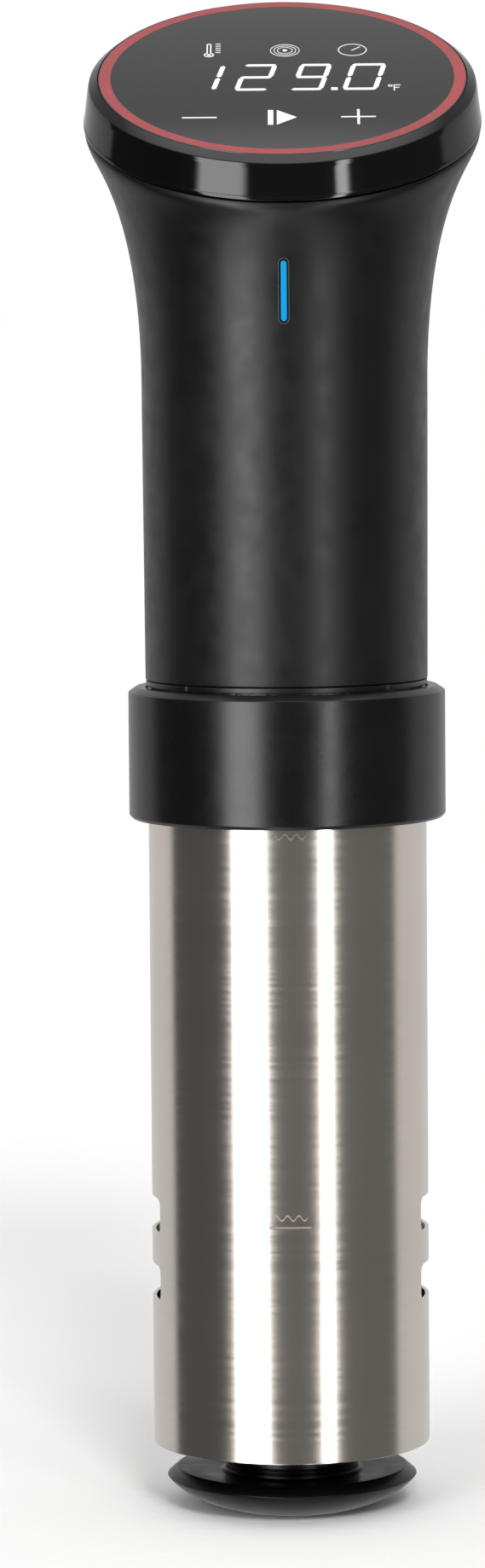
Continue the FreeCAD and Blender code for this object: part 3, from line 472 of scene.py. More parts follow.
def add_studio():
    """White surroundings behind, two upright soft boxes in front, and a bright ceiling."""
    world = bpy.data.worlds.new("studio")
    world.use_nodes = True
    scene.world = world
    tree = world.node_tree
    tree.nodes.clear()

    def add(kind, **values):
        item = tree.nodes.new("ShaderNode" + kind)
        for key, amount in values.items():
            setattr(item, key, amount)
        return item

    def join(source, output, target, socket):
        tree.links.new(source.outputs[output], target.inputs[socket])

    def fitted(source, output, from_low, from_high, to_low=0.0, to_high=1.0):
        item = add("MapRange")
        item.inputs["From Min"].default_value = from_low
        item.inputs["From Max"].default_value = from_high
        item.inputs["To Min"].default_value = to_low
        item.inputs["To Max"].default_value = to_high
        join(source, output, item, "Value")
        return item

    place = add("TexCoord")
    parts = add("SeparateXYZ")
    join(place, "Generated", parts, "Vector")
    back = add("Math", operation="MULTIPLY")
    back.inputs[1].default_value = -1
    join(parts, "Y", back, 0)
    compass = add("Math", operation="ARCTAN2")
    join(parts, "X", compass, 0)
    join(back, "Value", compass, 1)
    share = fitted(compass, "Value", -math.pi, math.pi)
    ramp = add("ValToRGB")
    stops = ramp.color_ramp.elements
    while len(stops) > 1:
        stops.remove(stops[-1])
    for i, (angle, level) in enumerate(STUDIO):
        stop = stops[0] if i == 0 else stops.new((angle + 180) / 360)
        stop.position = (angle + 180) / 360
        level = level / BRIGHTEST
        stop.color = (level, level, level, 1)
    join(share, "Result", ramp, "Fac")
    ceiling = fitted(parts, "Z", 0.5, 0.68)
    overhead = add("ValToRGB")
    for stop, (height, level) in zip(overhead.color_ramp.elements, OVERHEAD):
        level = level / BRIGHTEST
        stop.position = height
        stop.color = (level, level, level, 1)
    join(parts, "Z", overhead, "Fac")
    mix = add("Mix", data_type="RGBA")
    join(ceiling, "Result", mix, 0)
    join(ramp, "Color", mix, 6)
    join(overhead, "Color", mix, 7)
    light = add("Background")
    below = fitted(parts, "Z", -0.45, -0.3, BELOW_SHARE * BRIGHTEST, BRIGHTEST)
    join(below, "Result", light, "Strength")
    join(mix, 2, light, "Color")
    plain = add("Background")
    plain.inputs["Color"].default_value = (1, 1, 1, 1)
    plain.inputs["Strength"].default_value = BACKDROP
    path = add("LightPath")
    pick = add("MixShader")
    join(path, "Is Camera Ray", pick, 0)
    join(light, "Background", pick, 1)
    join(plain, "Background", pick, 2)
    out = add("OutputWorld")
    join(pick, "Shader", out, "Surface")


add_camera()
add_floor()
add_studio()
add_sun()
scene.view_settings.view_transform = "Standard"


# ---------------------------------------------------------------- handle

def cubic(values, s):
    a, b, c, d = values
    return (1 - s) ** 3 * a + 3 * (1 - s) ** 2 * s * b + 3 * (1 - s) * s ** 2 * c + s ** 3 * d


def handle_place(t, inset, lift, angle):
    """A point on the handle; t runs 0 to 1 up the straight part and 1 to 2 up the flare."""
    if t <= 1:
        z = HANDLE_BOTTOM + t * (STRAIGHT_TOP - HANDLE_BOTTOM)
        radius = BOTTOM_R + t * (FLARE_R[0] - BOTTOM_R)
        lean = 0.0
    else:
        z = cubic(FLARE_Z, t - 1)
        radius = cubic(FLARE_R, t - 1)
        lean = ((z - STRAIGHT_TOP) / (FLARE_Z[3] - STRAIGHT_TOP)) ** 2
    radius -= inset
    tilt = SEAM_TILT * lean
    y = SEAM_Y * lean - lift * math.sin(tilt)
    z += lift * math.cos(tilt)
    return Vector((radius * math.cos(angle), y + radius * math.sin(angle) * math.cos(tilt),
                   z + radius * math.sin(angle) * math.sin(tilt)))


def front_of_handle(height):
    """How far forward the handle's front is at a height."""
    below, above = 0.0, 2.0
    for _ in range(40):
        middle = (below + above) / 2
        if handle_place(middle, 0, 0, -math.pi / 2).z < height:
            below = middle
        else:
            above = middle
    return handle_place(below, 0, 0, -math.pi / 2).y


LIGHT_LOW = low("status_light_pipe").z
LIGHT_HIGH = high("status_light_pipe").z
LIGHT_W = high("status_light_pipe").x
GLAND_Z = (low("cord_gland").z + high("cord_gland").z) / 2
GLAND_R = 6.0 * MM


def stadium(width, bottom, top, steps=12):
    """Upright round-ended outline in X and Z."""
    outline = []
    for centre, start in ((top - width, 0), (bottom + width, math.pi)):
        for k in range(steps + 1):
            angle = start + math.pi * k / steps
            outline.append((width * math.cos(angle), centre + width * math.sin(angle)))
    return outline


def flat_to_front(x, z, depth):
    return (x, depth, z)


def make_handle():
    edge = 0.45 * MM
    segments = 224
    steps = [(0, HANDLE_WALL, 0), (0, edge, 0)]
    for k in range(1, 5):
        turn = math.pi / 2 * k / 4
        steps.append((0, edge * (1 - math.sin(turn)), edge * (1 - math.cos(turn))))
    steps += [(k / 24, 0, 0) for k in range(1, 25)]
    steps += [(1 + k / 72, 0, 0) for k in range(1, 70)]
    for k in range(5):
        turn = math.pi / 2 * k / 4
        steps.append((2, edge * (1 - math.cos(turn)), -edge * (1 - math.sin(turn))))
    steps.append((2, HANDLE_WALL, 0))
    steps += [(2 - k / 24, HANDLE_WALL, 0) for k in range(1, 48)]
    loops = [[handle_place(t, inset, lift, TURN * k / segments) for k in range(segments)]
             for t, inset, lift in steps]
    shell = loops_to_piece("handle_shell_moulding", loops, MATTE_BLACK)
    slot = prism("slot_tool", stadium(LIGHT_W + 0.08 * MM, LIGHT_LOW - 0.1 * MM, LIGHT_HIGH + 0.1 * MM),
                 -0.05, -0.02, None, flat_to_front)
    hole = lathe("gland_tool", [(0, 0.02), (GLAND_R, 0.02), (GLAND_R, 0.045), (0, 0.045)],
                 None, along_y(GLAND_Z), 64, closed=False)
    boolean(shell, "DIFFERENCE", [slot, hole])
    resharp(shell, 40)
    place_piece(shell, "appliance", ["handle_shell"])


def light_ring(width, bottom, top, scale, depth):
    """A ring shrunk towards its spine and set back from the handle's front."""
    ring = []
    for x, z in stadium(width, bottom, top):
        spine = min(max(z, bottom + width), top - width)
        spot_z = spine + (z - spine) * scale
        ring.append((x * scale, front_of_handle(spot_z) + depth, spot_z))
    return ring


def make_status_light():
    """Light pipe with a slightly crowned face in a dark slot with a fine rim, the rim coloured lighter
    than the shell as a painted highlight on the slot's edge.
    """
    recess = 0.35 * MM
    width = 0.62 * MM
    bottom = LIGHT_LOW + 0.4 * MM
    top = LIGHT_HIGH - 0.4 * MM
    crown = ((1.0, 4.0 * MM), (1.0, 0.12 * MM), (0.92, 0.03 * MM), (0.7, 0.0),
             (0.35, -0.02 * MM), (0.02, -0.03 * MM))
    loops = [light_ring(width, bottom, top, scale, recess + sink) for scale, sink in crown]
    pipe = loops_to_piece("status_light_strip", loops, LIT_BLUE, closed=False, capped=True, sharp=60)
    place_piece(pipe, "appliance", ["status_light_pipe"])
    frame_steps = ((1.0, 0.2 * MM), (0.66, 0.25 * MM), (0.66, 3.5 * MM), (1.0, 3.5 * MM))
    loops = [light_ring(LIGHT_W, LIGHT_LOW, LIGHT_HIGH, scale, recess + sink)
             for scale, sink in frame_steps]
    bed = loops_to_piece("status_light_bed", loops, GLOSS_BLACK, closed=True, sharp=60)
    place_piece(bed, "appliance")
    rim = []
    wire = 0.16 * MM
    outline = stadium(LIGHT_W + 0.1 * MM, LIGHT_LOW - 0.12 * MM, LIGHT_HIGH + 0.12 * MM, 16)
    centre_z = (LIGHT_LOW + LIGHT_HIGH) / 2
    for x, z in outline:
        spine = min(max(z, LIGHT_LOW + LIGHT_W), LIGHT_HIGH - LIGHT_W)
        out = Vector((x, 0, z - spine)).normalized()
        centre = Vector((x, front_of_handle(z), z))
        rim.append([centre + wire * (out * math.cos(a) + Vector((0, 1, 0)) * math.sin(a))
                    for a in (TURN * k / 8 for k in range(8))])
    # a fine tube round the slot, coloured lighter than the shell as a painted highlight on its edge
    edge = loops_to_piece("status_light_rim", rim, RIM_PAINTED_HIGHLIGHT, closed=True, sharp=80)
    place_piece(edge, "appliance")


def make_end_ring():
    """Thin ring under the handle, with two fine grooves near the front."""
    inner = RING_R - 2.1 * MM
    outline = softened([(inner, RING_BOTTOM, 0), (RING_R, RING_BOTTOM, 0.2 * MM),
                        (RING_R, RING_TOP, 0.1 * MM), (inner, RING_TOP, 0)])
    grooves = (math.radians(225), math.radians(315))
    groove_depth = 0.4 * MM
    half = 0.3 * MM / RING_R

    def notched(angle, radius, height):
        gap = min(abs(angle - groove) for groove in grooves)
        if radius <= inner + 0.5 * MM:
            return radius
        return radius - groove_depth * max(0.0, 1 - (gap / half) ** 4)

    ring = lathe("handle_end_ring_trim", outline, RING_BLACK, segments=960, shape=notched, sharp=40)
    place_piece(ring, "appliance", ["handle_end_ring"])


def make_gland():
    """Rubber gland for the cord, ribbed like a strain relief's root."""
    outer = high("cord_gland").y
    inner = low("cord_gland").y
    bore = 3.2 * MM
    flange = (high("cord_gland").z - low("cord_gland").z) / 2
    face = outer - 2.6 * MM
    outline = softened([
        (bore, inner, 0.3 * MM), (GLAND_R - 0.05 * MM, inner, 0.4 * MM),
        (GLAND_R - 0.05 * MM, face, 0), (flange, face, 0.4 * MM), (flange, outer - 1.1 * MM, 0.7 * MM),
        (5.2 * MM, outer - 0.5 * MM, 0.3 * MM), (4.9 * MM, outer - 0.1 * MM, 0.2 * MM),
        (4.2 * MM, outer, 0.2 * MM), (bore, outer, 0.4 * MM)])
    gland = lathe("cord_gland_rubber", outline, RUBBER, along_y(GLAND_Z), 96)
    place_piece(gland, "appliance", ["cord_gland"])


# ---------------------------------------------------------------- head

def head_place(radius, depth, angle):
    """A point on the head; the lean eases from the glass's tilt to the seam's with depth."""
    drop = GLASS_CENTRE.z - SEAM_CENTRE.z
    share = min(max(depth / drop, 0.0), 1.0)
    centre = GLASS_CENTRE.lerp(SEAM_CENTRE, share)
    tilt = HEAD_TILT + (SEAM_TILT - HEAD_TILT) * share
    return Vector((radius * math.cos(angle), centre.y + radius * math.sin(angle) * math.cos(tilt),
                   centre.z + radius * math.sin(angle) * math.sin(tilt)))


def on_glass(across, up, rise=0.0):
    """A point on the glass's face."""
    normal = Vector((0, -math.sin(HEAD_TILT), math.cos(HEAD_TILT)))
    slope = Vector((0, math.cos(HEAD_TILT), math.sin(HEAD_TILT)))
    return GLASS_CENTRE + Vector((across, 0, 0)) + slope * up + normal * rise


def make_band():
    """Gloss band with a bevel round the glass and a lip at the seam."""
    drop = GLASS_CENTRE.z - SEAM_CENTRE.z
    seat = 1.95 * MM
    outline = softened([
        (GLASS_R + 0.1 * MM, seat, 0), (GLASS_R + 0.1 * MM, 0.05 * MM, 0.06 * MM),
        (BEVEL_R - 0.05 * MM, BEVEL_DROP, 0.6 * MM),
        (BEVEL_R + 0.2 * MM, BEVEL_DROP + 1.1 * MM, 1.2 * MM),
        (BAND_R - 0.2 * MM, drop - 1.0 * MM, 0.4 * MM), (BAND_R - 0.08 * MM, drop - 0.75 * MM, 0.12 * MM),
        (BAND_R - 0.05 * MM, drop, 0.18 * MM), (38.6 * MM, drop, 0), (38.6 * MM, 4.0 * MM, 0),
        (36.9 * MM, 4.0 * MM, 0), (36.9 * MM, seat, 0)], steps=6)
    band = lathe("head_band_gloss", outline, GLOSS_BLACK, head_place, 256, sharp=28)
    place_piece(band, "appliance", ["head_band"])


def glass_point(radius, depth, angle):
    """A point on the glass's own straight axis, measured down from its face."""
    return on_glass(radius * math.cos(angle), radius * math.sin(angle), -depth)


def make_glass():
    rim = GLASS_R - 0.02 * MM
    outline = softened([(0, 0.06 * MM, 0), (rim, 0.06 * MM, 0.25 * MM), (rim, 1.6 * MM, 0),
                        (0, 1.6 * MM, 0)])
    glass = lathe("display_glass_face", outline, GLASS, glass_point, 256, closed=False)
    place_piece(glass, "appliance", ["display_glass"])
    outline = [(36.6 * MM, 0.07 * MM), (36.6 * MM, 0.035 * MM), (39.0 * MM, 0.035 * MM),
               (39.0 * MM, 0.07 * MM)]
    ring = lathe("accent_ring_print", outline, RED, glass_point, 256)
    place_piece(ring, "appliance", ["accent_ring"])


def strokes_to_piece(name, shapes):
    """Flat lit shapes on the glass: outlines of (across, up), or pairs of outlines for hollow ones."""
    mesh = bmesh.new()
    for shape in shapes:
        hollow = isinstance(shape, tuple)
        outlines = shape if hollow else (shape,)
        walls = []
        for outline in outlines:
            walls.append([[mesh.verts.new(on_glass(x * MM, y * MM, rise)) for x, y in outline]
                          for rise in (-0.058 * MM, -0.012 * MM)])
        count = len(outlines[0])
        pairs = [(wall[0], wall[1]) for wall in walls]
        if hollow:
            pairs += [(walls[0][level], walls[1][level]) for level in (0, 1)]
        else:
            mesh.faces.new(walls[0][0])
            mesh.faces.new(walls[0][1])
        for one, two in pairs:
            for i in range(count):
                j = (i + 1) % count
                mesh.faces.new((one[i], one[j], two[j], two[i]))
    piece = finish_mesh(name, mesh, LIT_WHITE)
    place_piece(piece, "appliance")


def bar(x0, y0, x1, y1, width):
    """A straight stroke with square ends."""
    along = Vector((x1 - x0, y1 - y0)).normalized() * (width / 2)
    side = Vector((-along.y, along.x))
    a = Vector((x0, y0))
    b = Vector((x1, y1))
    return [tuple(a + side), tuple(b + side), tuple(b - side), tuple(a - side)]


def arc(cx, cy, radius, start, end, steps=32):
    """Points on an arc, angles in degrees."""
    spots = []
    for k in range(steps + 1):
        angle = math.radians(start + (end - start) * k / steps)
        spots.append((cx + radius * math.cos(angle), cy + radius * math.sin(angle)))
    return spots


def hoop(cx, cy, radius, width):
    """A closed ring."""
    inner = arc(cx, cy, radius - width / 2, 0, 360, 48)[:-1]
    outer = arc(cx, cy, radius + width / 2, 0, 360, 48)[:-1]
    return (inner, outer)


def disc(cx, cy, radius):
    return arc(cx, cy, radius, 0, 360)[:-1]


DIGIT_SEGMENTS = {"1": "bc", "2": "abged", "9": "abcdfg", "0": "abcdef"}


def digit(symbol, left, base, width, height, stroke, slant):
    """A slanted seven-segment digit."""
    gap = 0.2
    mid = height / 2
    ends = {"a": ((0, height), (width, height)), "g": ((0, mid), (width, mid)),
            "d": ((0, 0), (width, 0)), "f": ((0, mid), (0, height)), "e": ((0, 0), (0, mid)),
            "b": ((width, mid), (width, height)), "c": ((width, 0), (width, mid))}
    half = stroke / 2
    shapes = []
    for name in DIGIT_SEGMENTS[symbol]:
        (x0, y0), (x1, y1) = ends[name]
        if y0 == y1:
            shift = {"a": -half, "g": 0, "d": half}[name]
            y = y0 + shift
            outline = [(x0 + gap, y), (x0 + gap + half, y + half), (x1 - gap - half, y + half),
                       (x1 - gap, y), (x1 - gap - half, y - half), (x0 + gap + half, y - half)]
        else:
            shift = half if x0 == 0 else -half
            x = x0 + shift
            bottom = y0 + gap + (half if y0 == 0 else 0)
            top = y1 - gap - (half if y1 == height else 0)
            outline = [(x, bottom), (x + half, bottom + half), (x + half, top - half), (x, top),
                       (x - half, top - half), (x - half, bottom + half)]
        shapes.append([(left + px + slant * py, base + py) for px, py in outline])
    return shapes


def make_display():
    """Temperature digits, three state icons and three touch symbols, all plain and generic."""
    base = -7.3
    tall = 13.5
    stroke = 1.05
    slant = 0.17
    shapes = []
    for symbol, left, width in (("1", -16.6, 2.4), ("2", -10.3, 7.1), ("9", 1.6, 6.9),
                                ("0", 12.6, 7.5)):
        shapes += digit(symbol, left, base, width, tall, stroke, slant)
    shapes.append(bar(10.35, base + 0.65, 11.75, base + 0.65, 1.3))
    strokes_to_piece("display_digits", shapes)
    strokes_to_piece("display_unit", [hoop(22.9, -5.3, 0.4, 0.2), [
        (23.6, -7.8), (23.85, -7.8), (23.85, -6.4), (24.8, -6.4), (24.8, -6.1), (23.85, -6.1),
        (23.85, -5.15), (25.1, -5.15), (25.1, -4.85), (23.6, -4.85)]])
    bulb = arc(-15.7, 11.3, 1.1, 118, 422)
    stem = arc(-15.7, 16.6, 0.52, 0, 180, 12)
    within = arc(-15.7, 11.3, 0.82, 106, 434) + arc(-15.7, 16.6, 0.24, 0, 180, 12)
    outline = bulb + stem
    thermometer = [(within, outline), disc(-15.7, 11.3, 0.46)]
    thermometer += [bar(-14.3, level, -13.2, level, 0.26) for level in (12.6, 13.7, 14.8, 15.9, 17.0)]
    strokes_to_piece("display_icon_thermometer", thermometer)
    waves = [hoop(0.6, 13.4, radius, 0.14) for radius in (3.1, 2.35, 1.6)]
    strokes_to_piece("display_icon_waves", waves + [disc(0.6, 13.4, 0.5)])
    strokes_to_piece("display_icon_timer", [
        hoop(15.1, 13.4, 3.0, 0.2), bar(14.9, 13.1, 16.7, 15.0, 0.24)])
    strokes_to_piece("display_touch_minus", [bar(-21.1, -20.8, -13.8, -20.8, 0.5)])
    strokes_to_piece("display_touch_plus", [bar(12.3, -20.9, 19.6, -20.9, 0.5),
                                            bar(15.95, -20.6, 15.95, -17.2, 0.55),
                                            bar(15.95, -21.2, 15.95, -24.6, 0.55)])
    strokes_to_piece("display_touch_start", [bar(-2.5, -24.6, -2.5, -17.3, 1.15),
                                             [(-1.2, -24.6), (3.0, -20.95), (-1.2, -17.3)]])


# ---------------------------------------------------------------- steel skirt

SLOT_LEVELS = (49.6 * MM, 64.2 * MM)
SLOT_WIDTH = 20.8 * MM
SLOT_HEIGHT = 7.7 * MM
SLOT_CORNER = 2 * MM


def make_skirt():
    """Thin brushed tube with rolled rims and two slots on each side."""
    inner = SKIRT_R - SKIRT_WALL
    rim = 0.3 * MM
    outline = softened([(inner, SKIRT_BOTTOM, rim), (SKIRT_R, SKIRT_BOTTOM, rim),
                        (SKIRT_R, SKIRT_TOP, 0.1 * MM), (inner, SKIRT_TOP, 0.1 * MM)])
    tube = lathe("steel_skirt_tube", outline, STEEL, segments=256)
    tools = []
    for level in SLOT_LEVELS:
        outline = rounded_box(SLOT_WIDTH / 2, level - SLOT_HEIGHT / 2, level + SLOT_HEIGHT / 2,
                              SLOT_CORNER, 8)
        tools.append(prism("slot_tool", outline, -1.3 * SKIRT_R, 1.3 * SKIRT_R, None,
                           lambda y, z, depth: (depth, y, z)))
    boolean(tube, "DIFFERENCE", tools)
    radial_normals(tube, SKIRT_R)
    place_piece(tube, "skirt", ["steel_skirt"])


def curved_patch(name, outline, material, rise=0.015 * MM):
    """A thin mark on the front of the tube from an outline in millimetres."""
    mesh = bmesh.new()
    rings = []
    for lift in (-0.01 * MM, rise):
        ring = []
        for x, z in outline:
            angle = -math.pi / 2 + x * MM / SKIRT_R
            ring.append(mesh.verts.new(upright(SKIRT_R + lift, z * MM, angle)))
        rings.append(ring)
    count = len(outline)
    for i in range(count):
        j = (i + 1) % count
        mesh.faces.new((rings[0][i], rings[0][j], rings[1][j], rings[1][i]))
    mesh.faces.new(rings[0])
    mesh.faces.new(rings[1])
    piece = finish_mesh(name, mesh, material)
    place_piece(piece, "skirt")


def make_marks():
    """Etched water-level marks: a line with a small wave above it, and a wave higher up."""
    line = 64.7
    line_width = 0.35
    across = [-4.5 + 9.0 * k / 8 for k in range(9)]
    curved_patch("low_water_line", [(x, line) for x in across]
                 + [(x, line + line_width) for x in across[::-1]], MARK)
    for name, level in (("low_water_wave", 66.9), ("high_water_wave", 147.9)):
        steps = [k / 32 for k in range(33)]
        top = [(-3.6 + 7.2 * s, level + 0.55 * math.sin(3 * TURN * s) + 0.16) for s in steps]
        under = [(x, z - 0.32) for x, z in top[::-1]]
        curved_patch(name, under[::-1] + top[::-1], MARK)


# ---------------------------------------------------------------- base cap

def make_base_cap():
    """Mushroom cap: flat foot, domed underside, crisp rim, dished top and a windowed neck."""
    rim_z = 6.4 * MM
    dome_r, dome_depth, dome_centre = 28.5 * MM, 12.21 * MM, 10.22 * MM
    crest_r, crest_z = 24.9 * MM, 8.3 * MM
    bead = 0.28 * MM
    neck = 14.4 * MM
    bore = neck - 1.6 * MM
    top = high("base_cap").z
    dome = []
    for k in range(24):
        z = rim_z * k / 24
        dome.append((dome_r * math.sqrt(1 - ((dome_centre - z) / dome_depth) ** 2), z))
    foot = dome[0][0]
    corners = [
        dome.pop() + (0,), (CAP_R, rim_z, 0.12 * MM), (crest_r, crest_z, 1.0 * MM),
        (20.5 * MM, 7.9 * MM, 2.0 * MM), (neck + 1.2 * MM, 7.3 * MM, 0.8 * MM),
        (neck, 7.7 * MM, 0.4 * MM)]
    for level in (8.8 * MM, 9.6 * MM):
        corners += [(neck, level - 0.25 * MM, 0.1 * MM), (neck + bead, level, 0.12 * MM),
                    (neck, level + 0.25 * MM, 0.1 * MM)]
    corners += [(neck, top, 0.3 * MM), (bore, top, 0.3 * MM), (bore, 6.6 * MM, 0.8 * MM),
                (bore - 3 * MM, 6.4 * MM, 1.0 * MM), (0, 8.4 * MM, 0)]
    outline = [(0, 0.0), (foot - 0.5 * MM, 0.0)] + dome + softened(corners)
    cap = lathe("base_cap_moulding", outline, CAP_BLACK, segments=224, closed=False, sharp=40)
    window = rounded_box(5.5 * MM, 10.4 * MM, 14.8 * MM, 1 * MM, 5)
    reach = 20 * MM
    tools = []
    for angle in (math.radians(45), math.radians(135)):
        def across_neck(x, z, depth, turn=angle):
            return (depth * math.cos(turn) - x * math.sin(turn),
                    depth * math.sin(turn) + x * math.cos(turn), z)

        tools.append(prism("window_tool", window, -reach, reach, None, across_neck))
    boolean(cap, "DIFFERENCE", tools)
    resharp(cap, 40)
    place_piece(cap, "cap", ["base_cap"])


# ---------------------------------------------------------------- pot clamp

BOSS_BACK = low("clamp_bracket").y
JAW_BACK = low("jaw_pad").y
ARM_BACK = high("clamp_bracket").y - 4 * MM
ARM_FRONT = ARM_BACK - 6 * MM
BRACKET_W = high("clamp_bracket").x
SCREW_Z = (low("clamp_knob").z + high("clamp_knob").z) / 2
SCREW_LEVELS = (160 * MM, 170 * MM)


def flat_to_side(y, z, x):
    return (x, y, z)


def make_clamp_ring():
    """Chamfered ring with the boss that the bracket bolts to."""
    lip = 30.3 * MM
    groove = lip + 0.65 * MM
    boss_root, boss_low, boss_high = 31.5 * MM, 152 * MM, 175.5 * MM
    outline = softened([
        (lip, CLAMP_BOTTOM, 0.3 * MM), (CLAMP_R - 0.75 * MM, CLAMP_BOTTOM, 0.25 * MM),
        (CLAMP_R, CLAMP_BOTTOM + 0.75 * MM, 0.3 * MM), (CLAMP_R, CLAMP_TOP - 1.15 * MM, 0.35 * MM),
        (CLAMP_R - 1.7 * MM, CLAMP_TOP, 0.35 * MM), (lip, CLAMP_TOP, 0.3 * MM),
        (lip, CLAMP_TOP - 2.4 * MM, 0), (groove, CLAMP_TOP - 2.4 * MM, 0),
        (groove, CLAMP_BOTTOM + 2.4 * MM, 0), (lip, CLAMP_BOTTOM + 2.4 * MM, 0)])
    ring = lathe("clamp_ring_moulding", outline, CLAMP_BLACK, segments=224)
    corners = [(-BRACKET_W, boss_root, 0), (BRACKET_W, boss_root, 0), (BRACKET_W, BOSS_BACK, 1 * MM),
               (-BRACKET_W, BOSS_BACK, 1 * MM)]
    boss = prism("boss_block", softened(corners), boss_low, boss_high, CLAMP_BLACK,
                 lambda x, y, z: (x, y, z))
    bevel(boss, 0.6 * MM, 2)
    boolean(ring, "UNION", [boss])
    resharp(ring, 34)
    place_piece(ring, "clamp", ["clamp_ring"])


def make_bracket():
    """Hook over the pot's rim with rounded corners, a rib and a nut boss."""
    jaw_low = low("clamp_bracket").z
    top = high("clamp_bracket").z
    arm_low, bridge_low, bridge_high = 113 * MM, 150 * MM, 156 * MM
    nut_r, bore_r, clear = 8 * MM, 4.05 * MM, 9 * MM
    corners = [
        (BOSS_BACK, jaw_low, 1.5 * MM), (JAW_BACK, jaw_low, 1.5 * MM), (JAW_BACK, bridge_low, 3 * MM),
        (ARM_FRONT, bridge_low, 3 * MM), (ARM_FRONT, arm_low, 1.5 * MM), (ARM_BACK, arm_low, 1.5 * MM),
        (ARM_BACK, bridge_high, 6 * MM), (JAW_BACK, bridge_high, 3 * MM), (JAW_BACK, top, 1.5 * MM),
        (BOSS_BACK, top, 1.0 * MM)]
    hook = prism("clamp_bracket_hook", softened(corners, 6), -BRACKET_W, BRACKET_W, CLAMP_BLACK,
                 flat_to_side)
    root = bridge_high - 1 * MM
    web = [(JAW_BACK - 1 * MM, root), (ARM_FRONT, root), (JAW_BACK - 1 * MM, root + 11 * MM)]
    ribs = [prism("bridge_rib", web, side - 1.6 * MM, side + 1.6 * MM, CLAMP_BLACK, flat_to_side)
            for side in (-8 * MM, 8 * MM)]
    back = high("clamp_bracket").y
    within = ARM_FRONT + 1.5 * MM
    nut = lathe("nut_boss", softened([(0, within, 0), (nut_r, within, 0), (nut_r, back, 0.8 * MM),
                                      (0, back, 0)]),
                CLAMP_BLACK, along_y(SCREW_Z), 96, closed=False)
    bore = lathe("nut_bore", [(0, ARM_FRONT - clear), (bore_r, ARM_FRONT - clear),
                              (bore_r, back + clear), (0, back + clear)],
                 None, along_y(SCREW_Z), 96, closed=False)
    bevel(hook, 0.6 * MM, 3, 60)
    boolean(hook, "UNION", [*ribs, nut])
    boolean(hook, "DIFFERENCE", [bore])
    resharp(hook, 34)
    place_piece(hook, "clamp", ["clamp_bracket"])


def hexagon(angle, size):
    """Radius of a hexagon of a given flat-to-centre size at an angle."""
    turn = (angle + math.pi / 6) % (math.pi / 3) - math.pi / 6
    return size / math.cos(turn)


def make_bracket_screws():
    """Two socket-head screws through the bracket."""
    back = high("bracket_screws").y
    for i, level in enumerate(SCREW_LEVELS):
        outline = softened([(3.0 * MM, back - 2.0 * MM, 0), (3.0 * MM, back, 0.3 * MM),
                            (1.9 * MM, back, 0.1 * MM), (1.7 * MM, back - 0.1 * MM, 0),
                            (1.69 * MM, back - 1.3 * MM, 0), (0, back - 1.5 * MM, 0)])

        def socket(angle, radius, reach):
            return hexagon(angle, 1.5 * MM) if 1.6 * MM < radius < 1.8 * MM else radius

        screw = lathe("bracket_screw_%d" % round(level / MM), outline, SCREW_STEEL, along_y(level), 72,
                      closed=False, shape=socket)
        place_piece(screw, "clamp", ["bracket_screws"] if i == 0 else ())


def make_jaw_pad():
    """Ribbed rubber pad on the fixed jaw."""
    bottom = low("jaw_pad").z
    top = high("jaw_pad").z
    face = high("jaw_pad").y
    corners = [(JAW_BACK, bottom, 0), (face, bottom, 0.4 * MM)]
    ribs = 14
    valley = face - 0.6 * MM
    for k in range(1, ribs):
        level = bottom + (top - bottom) * k / ribs
        corners += [(face, level - 0.45 * MM, 0.15 * MM), (valley, level - 0.25 * MM, 0.1 * MM),
                    (valley, level + 0.25 * MM, 0.1 * MM), (face, level + 0.45 * MM, 0.15 * MM)]
    corners += [(face, top, 0.4 * MM), (JAW_BACK, top, 0)]
    width = high("jaw_pad").x
    pad = prism("jaw_pad_rubber", softened(corners, 2), -width, width, RUBBER, flat_to_side)
    place_piece(pad, "clamp", ["jaw_pad"])


def make_pressure_pad():
    """Swivelling pad with a ringed face."""
    front = low("clamp_pad").y
    back = high("clamp_pad").y
    wide = (high("clamp_pad").z - low("clamp_pad").z) / 2
    outline = [(0, front + 0.3 * MM)]
    for radius in (2.0, 3.6, 5.2, 6.8):
        outline += [(radius * MM, front + 0.3 * MM), (radius * MM + 0.2 * MM, front),
                    (radius * MM + 0.8 * MM, front), (radius * MM + 1.0 * MM, front + 0.3 * MM)]
    outline += softened([(wide - 0.4 * MM, front + 0.3 * MM, 0), (wide, front + 0.6 * MM, 0.3 * MM),
                         (wide, front + 2.2 * MM, 0.4 * MM), (wide - 0.8 * MM, front + 3 * MM, 0.6 * MM),
                         (4.4 * MM, front + 3.6 * MM, 1.2 * MM), (4.1 * MM, back, 0.4 * MM),
                         (2.5 * MM, back, 0.2 * MM), (2.5 * MM, front + 2.9 * MM, 0),
                         (0, front + 2.9 * MM, 0)])[1:]
    pad = lathe("clamp_pad_moulding", outline, CLAMP_BLACK, along_y(SCREW_Z), 96, closed=False)
    place_piece(pad, "pressure_pad", ["clamp_pad"])


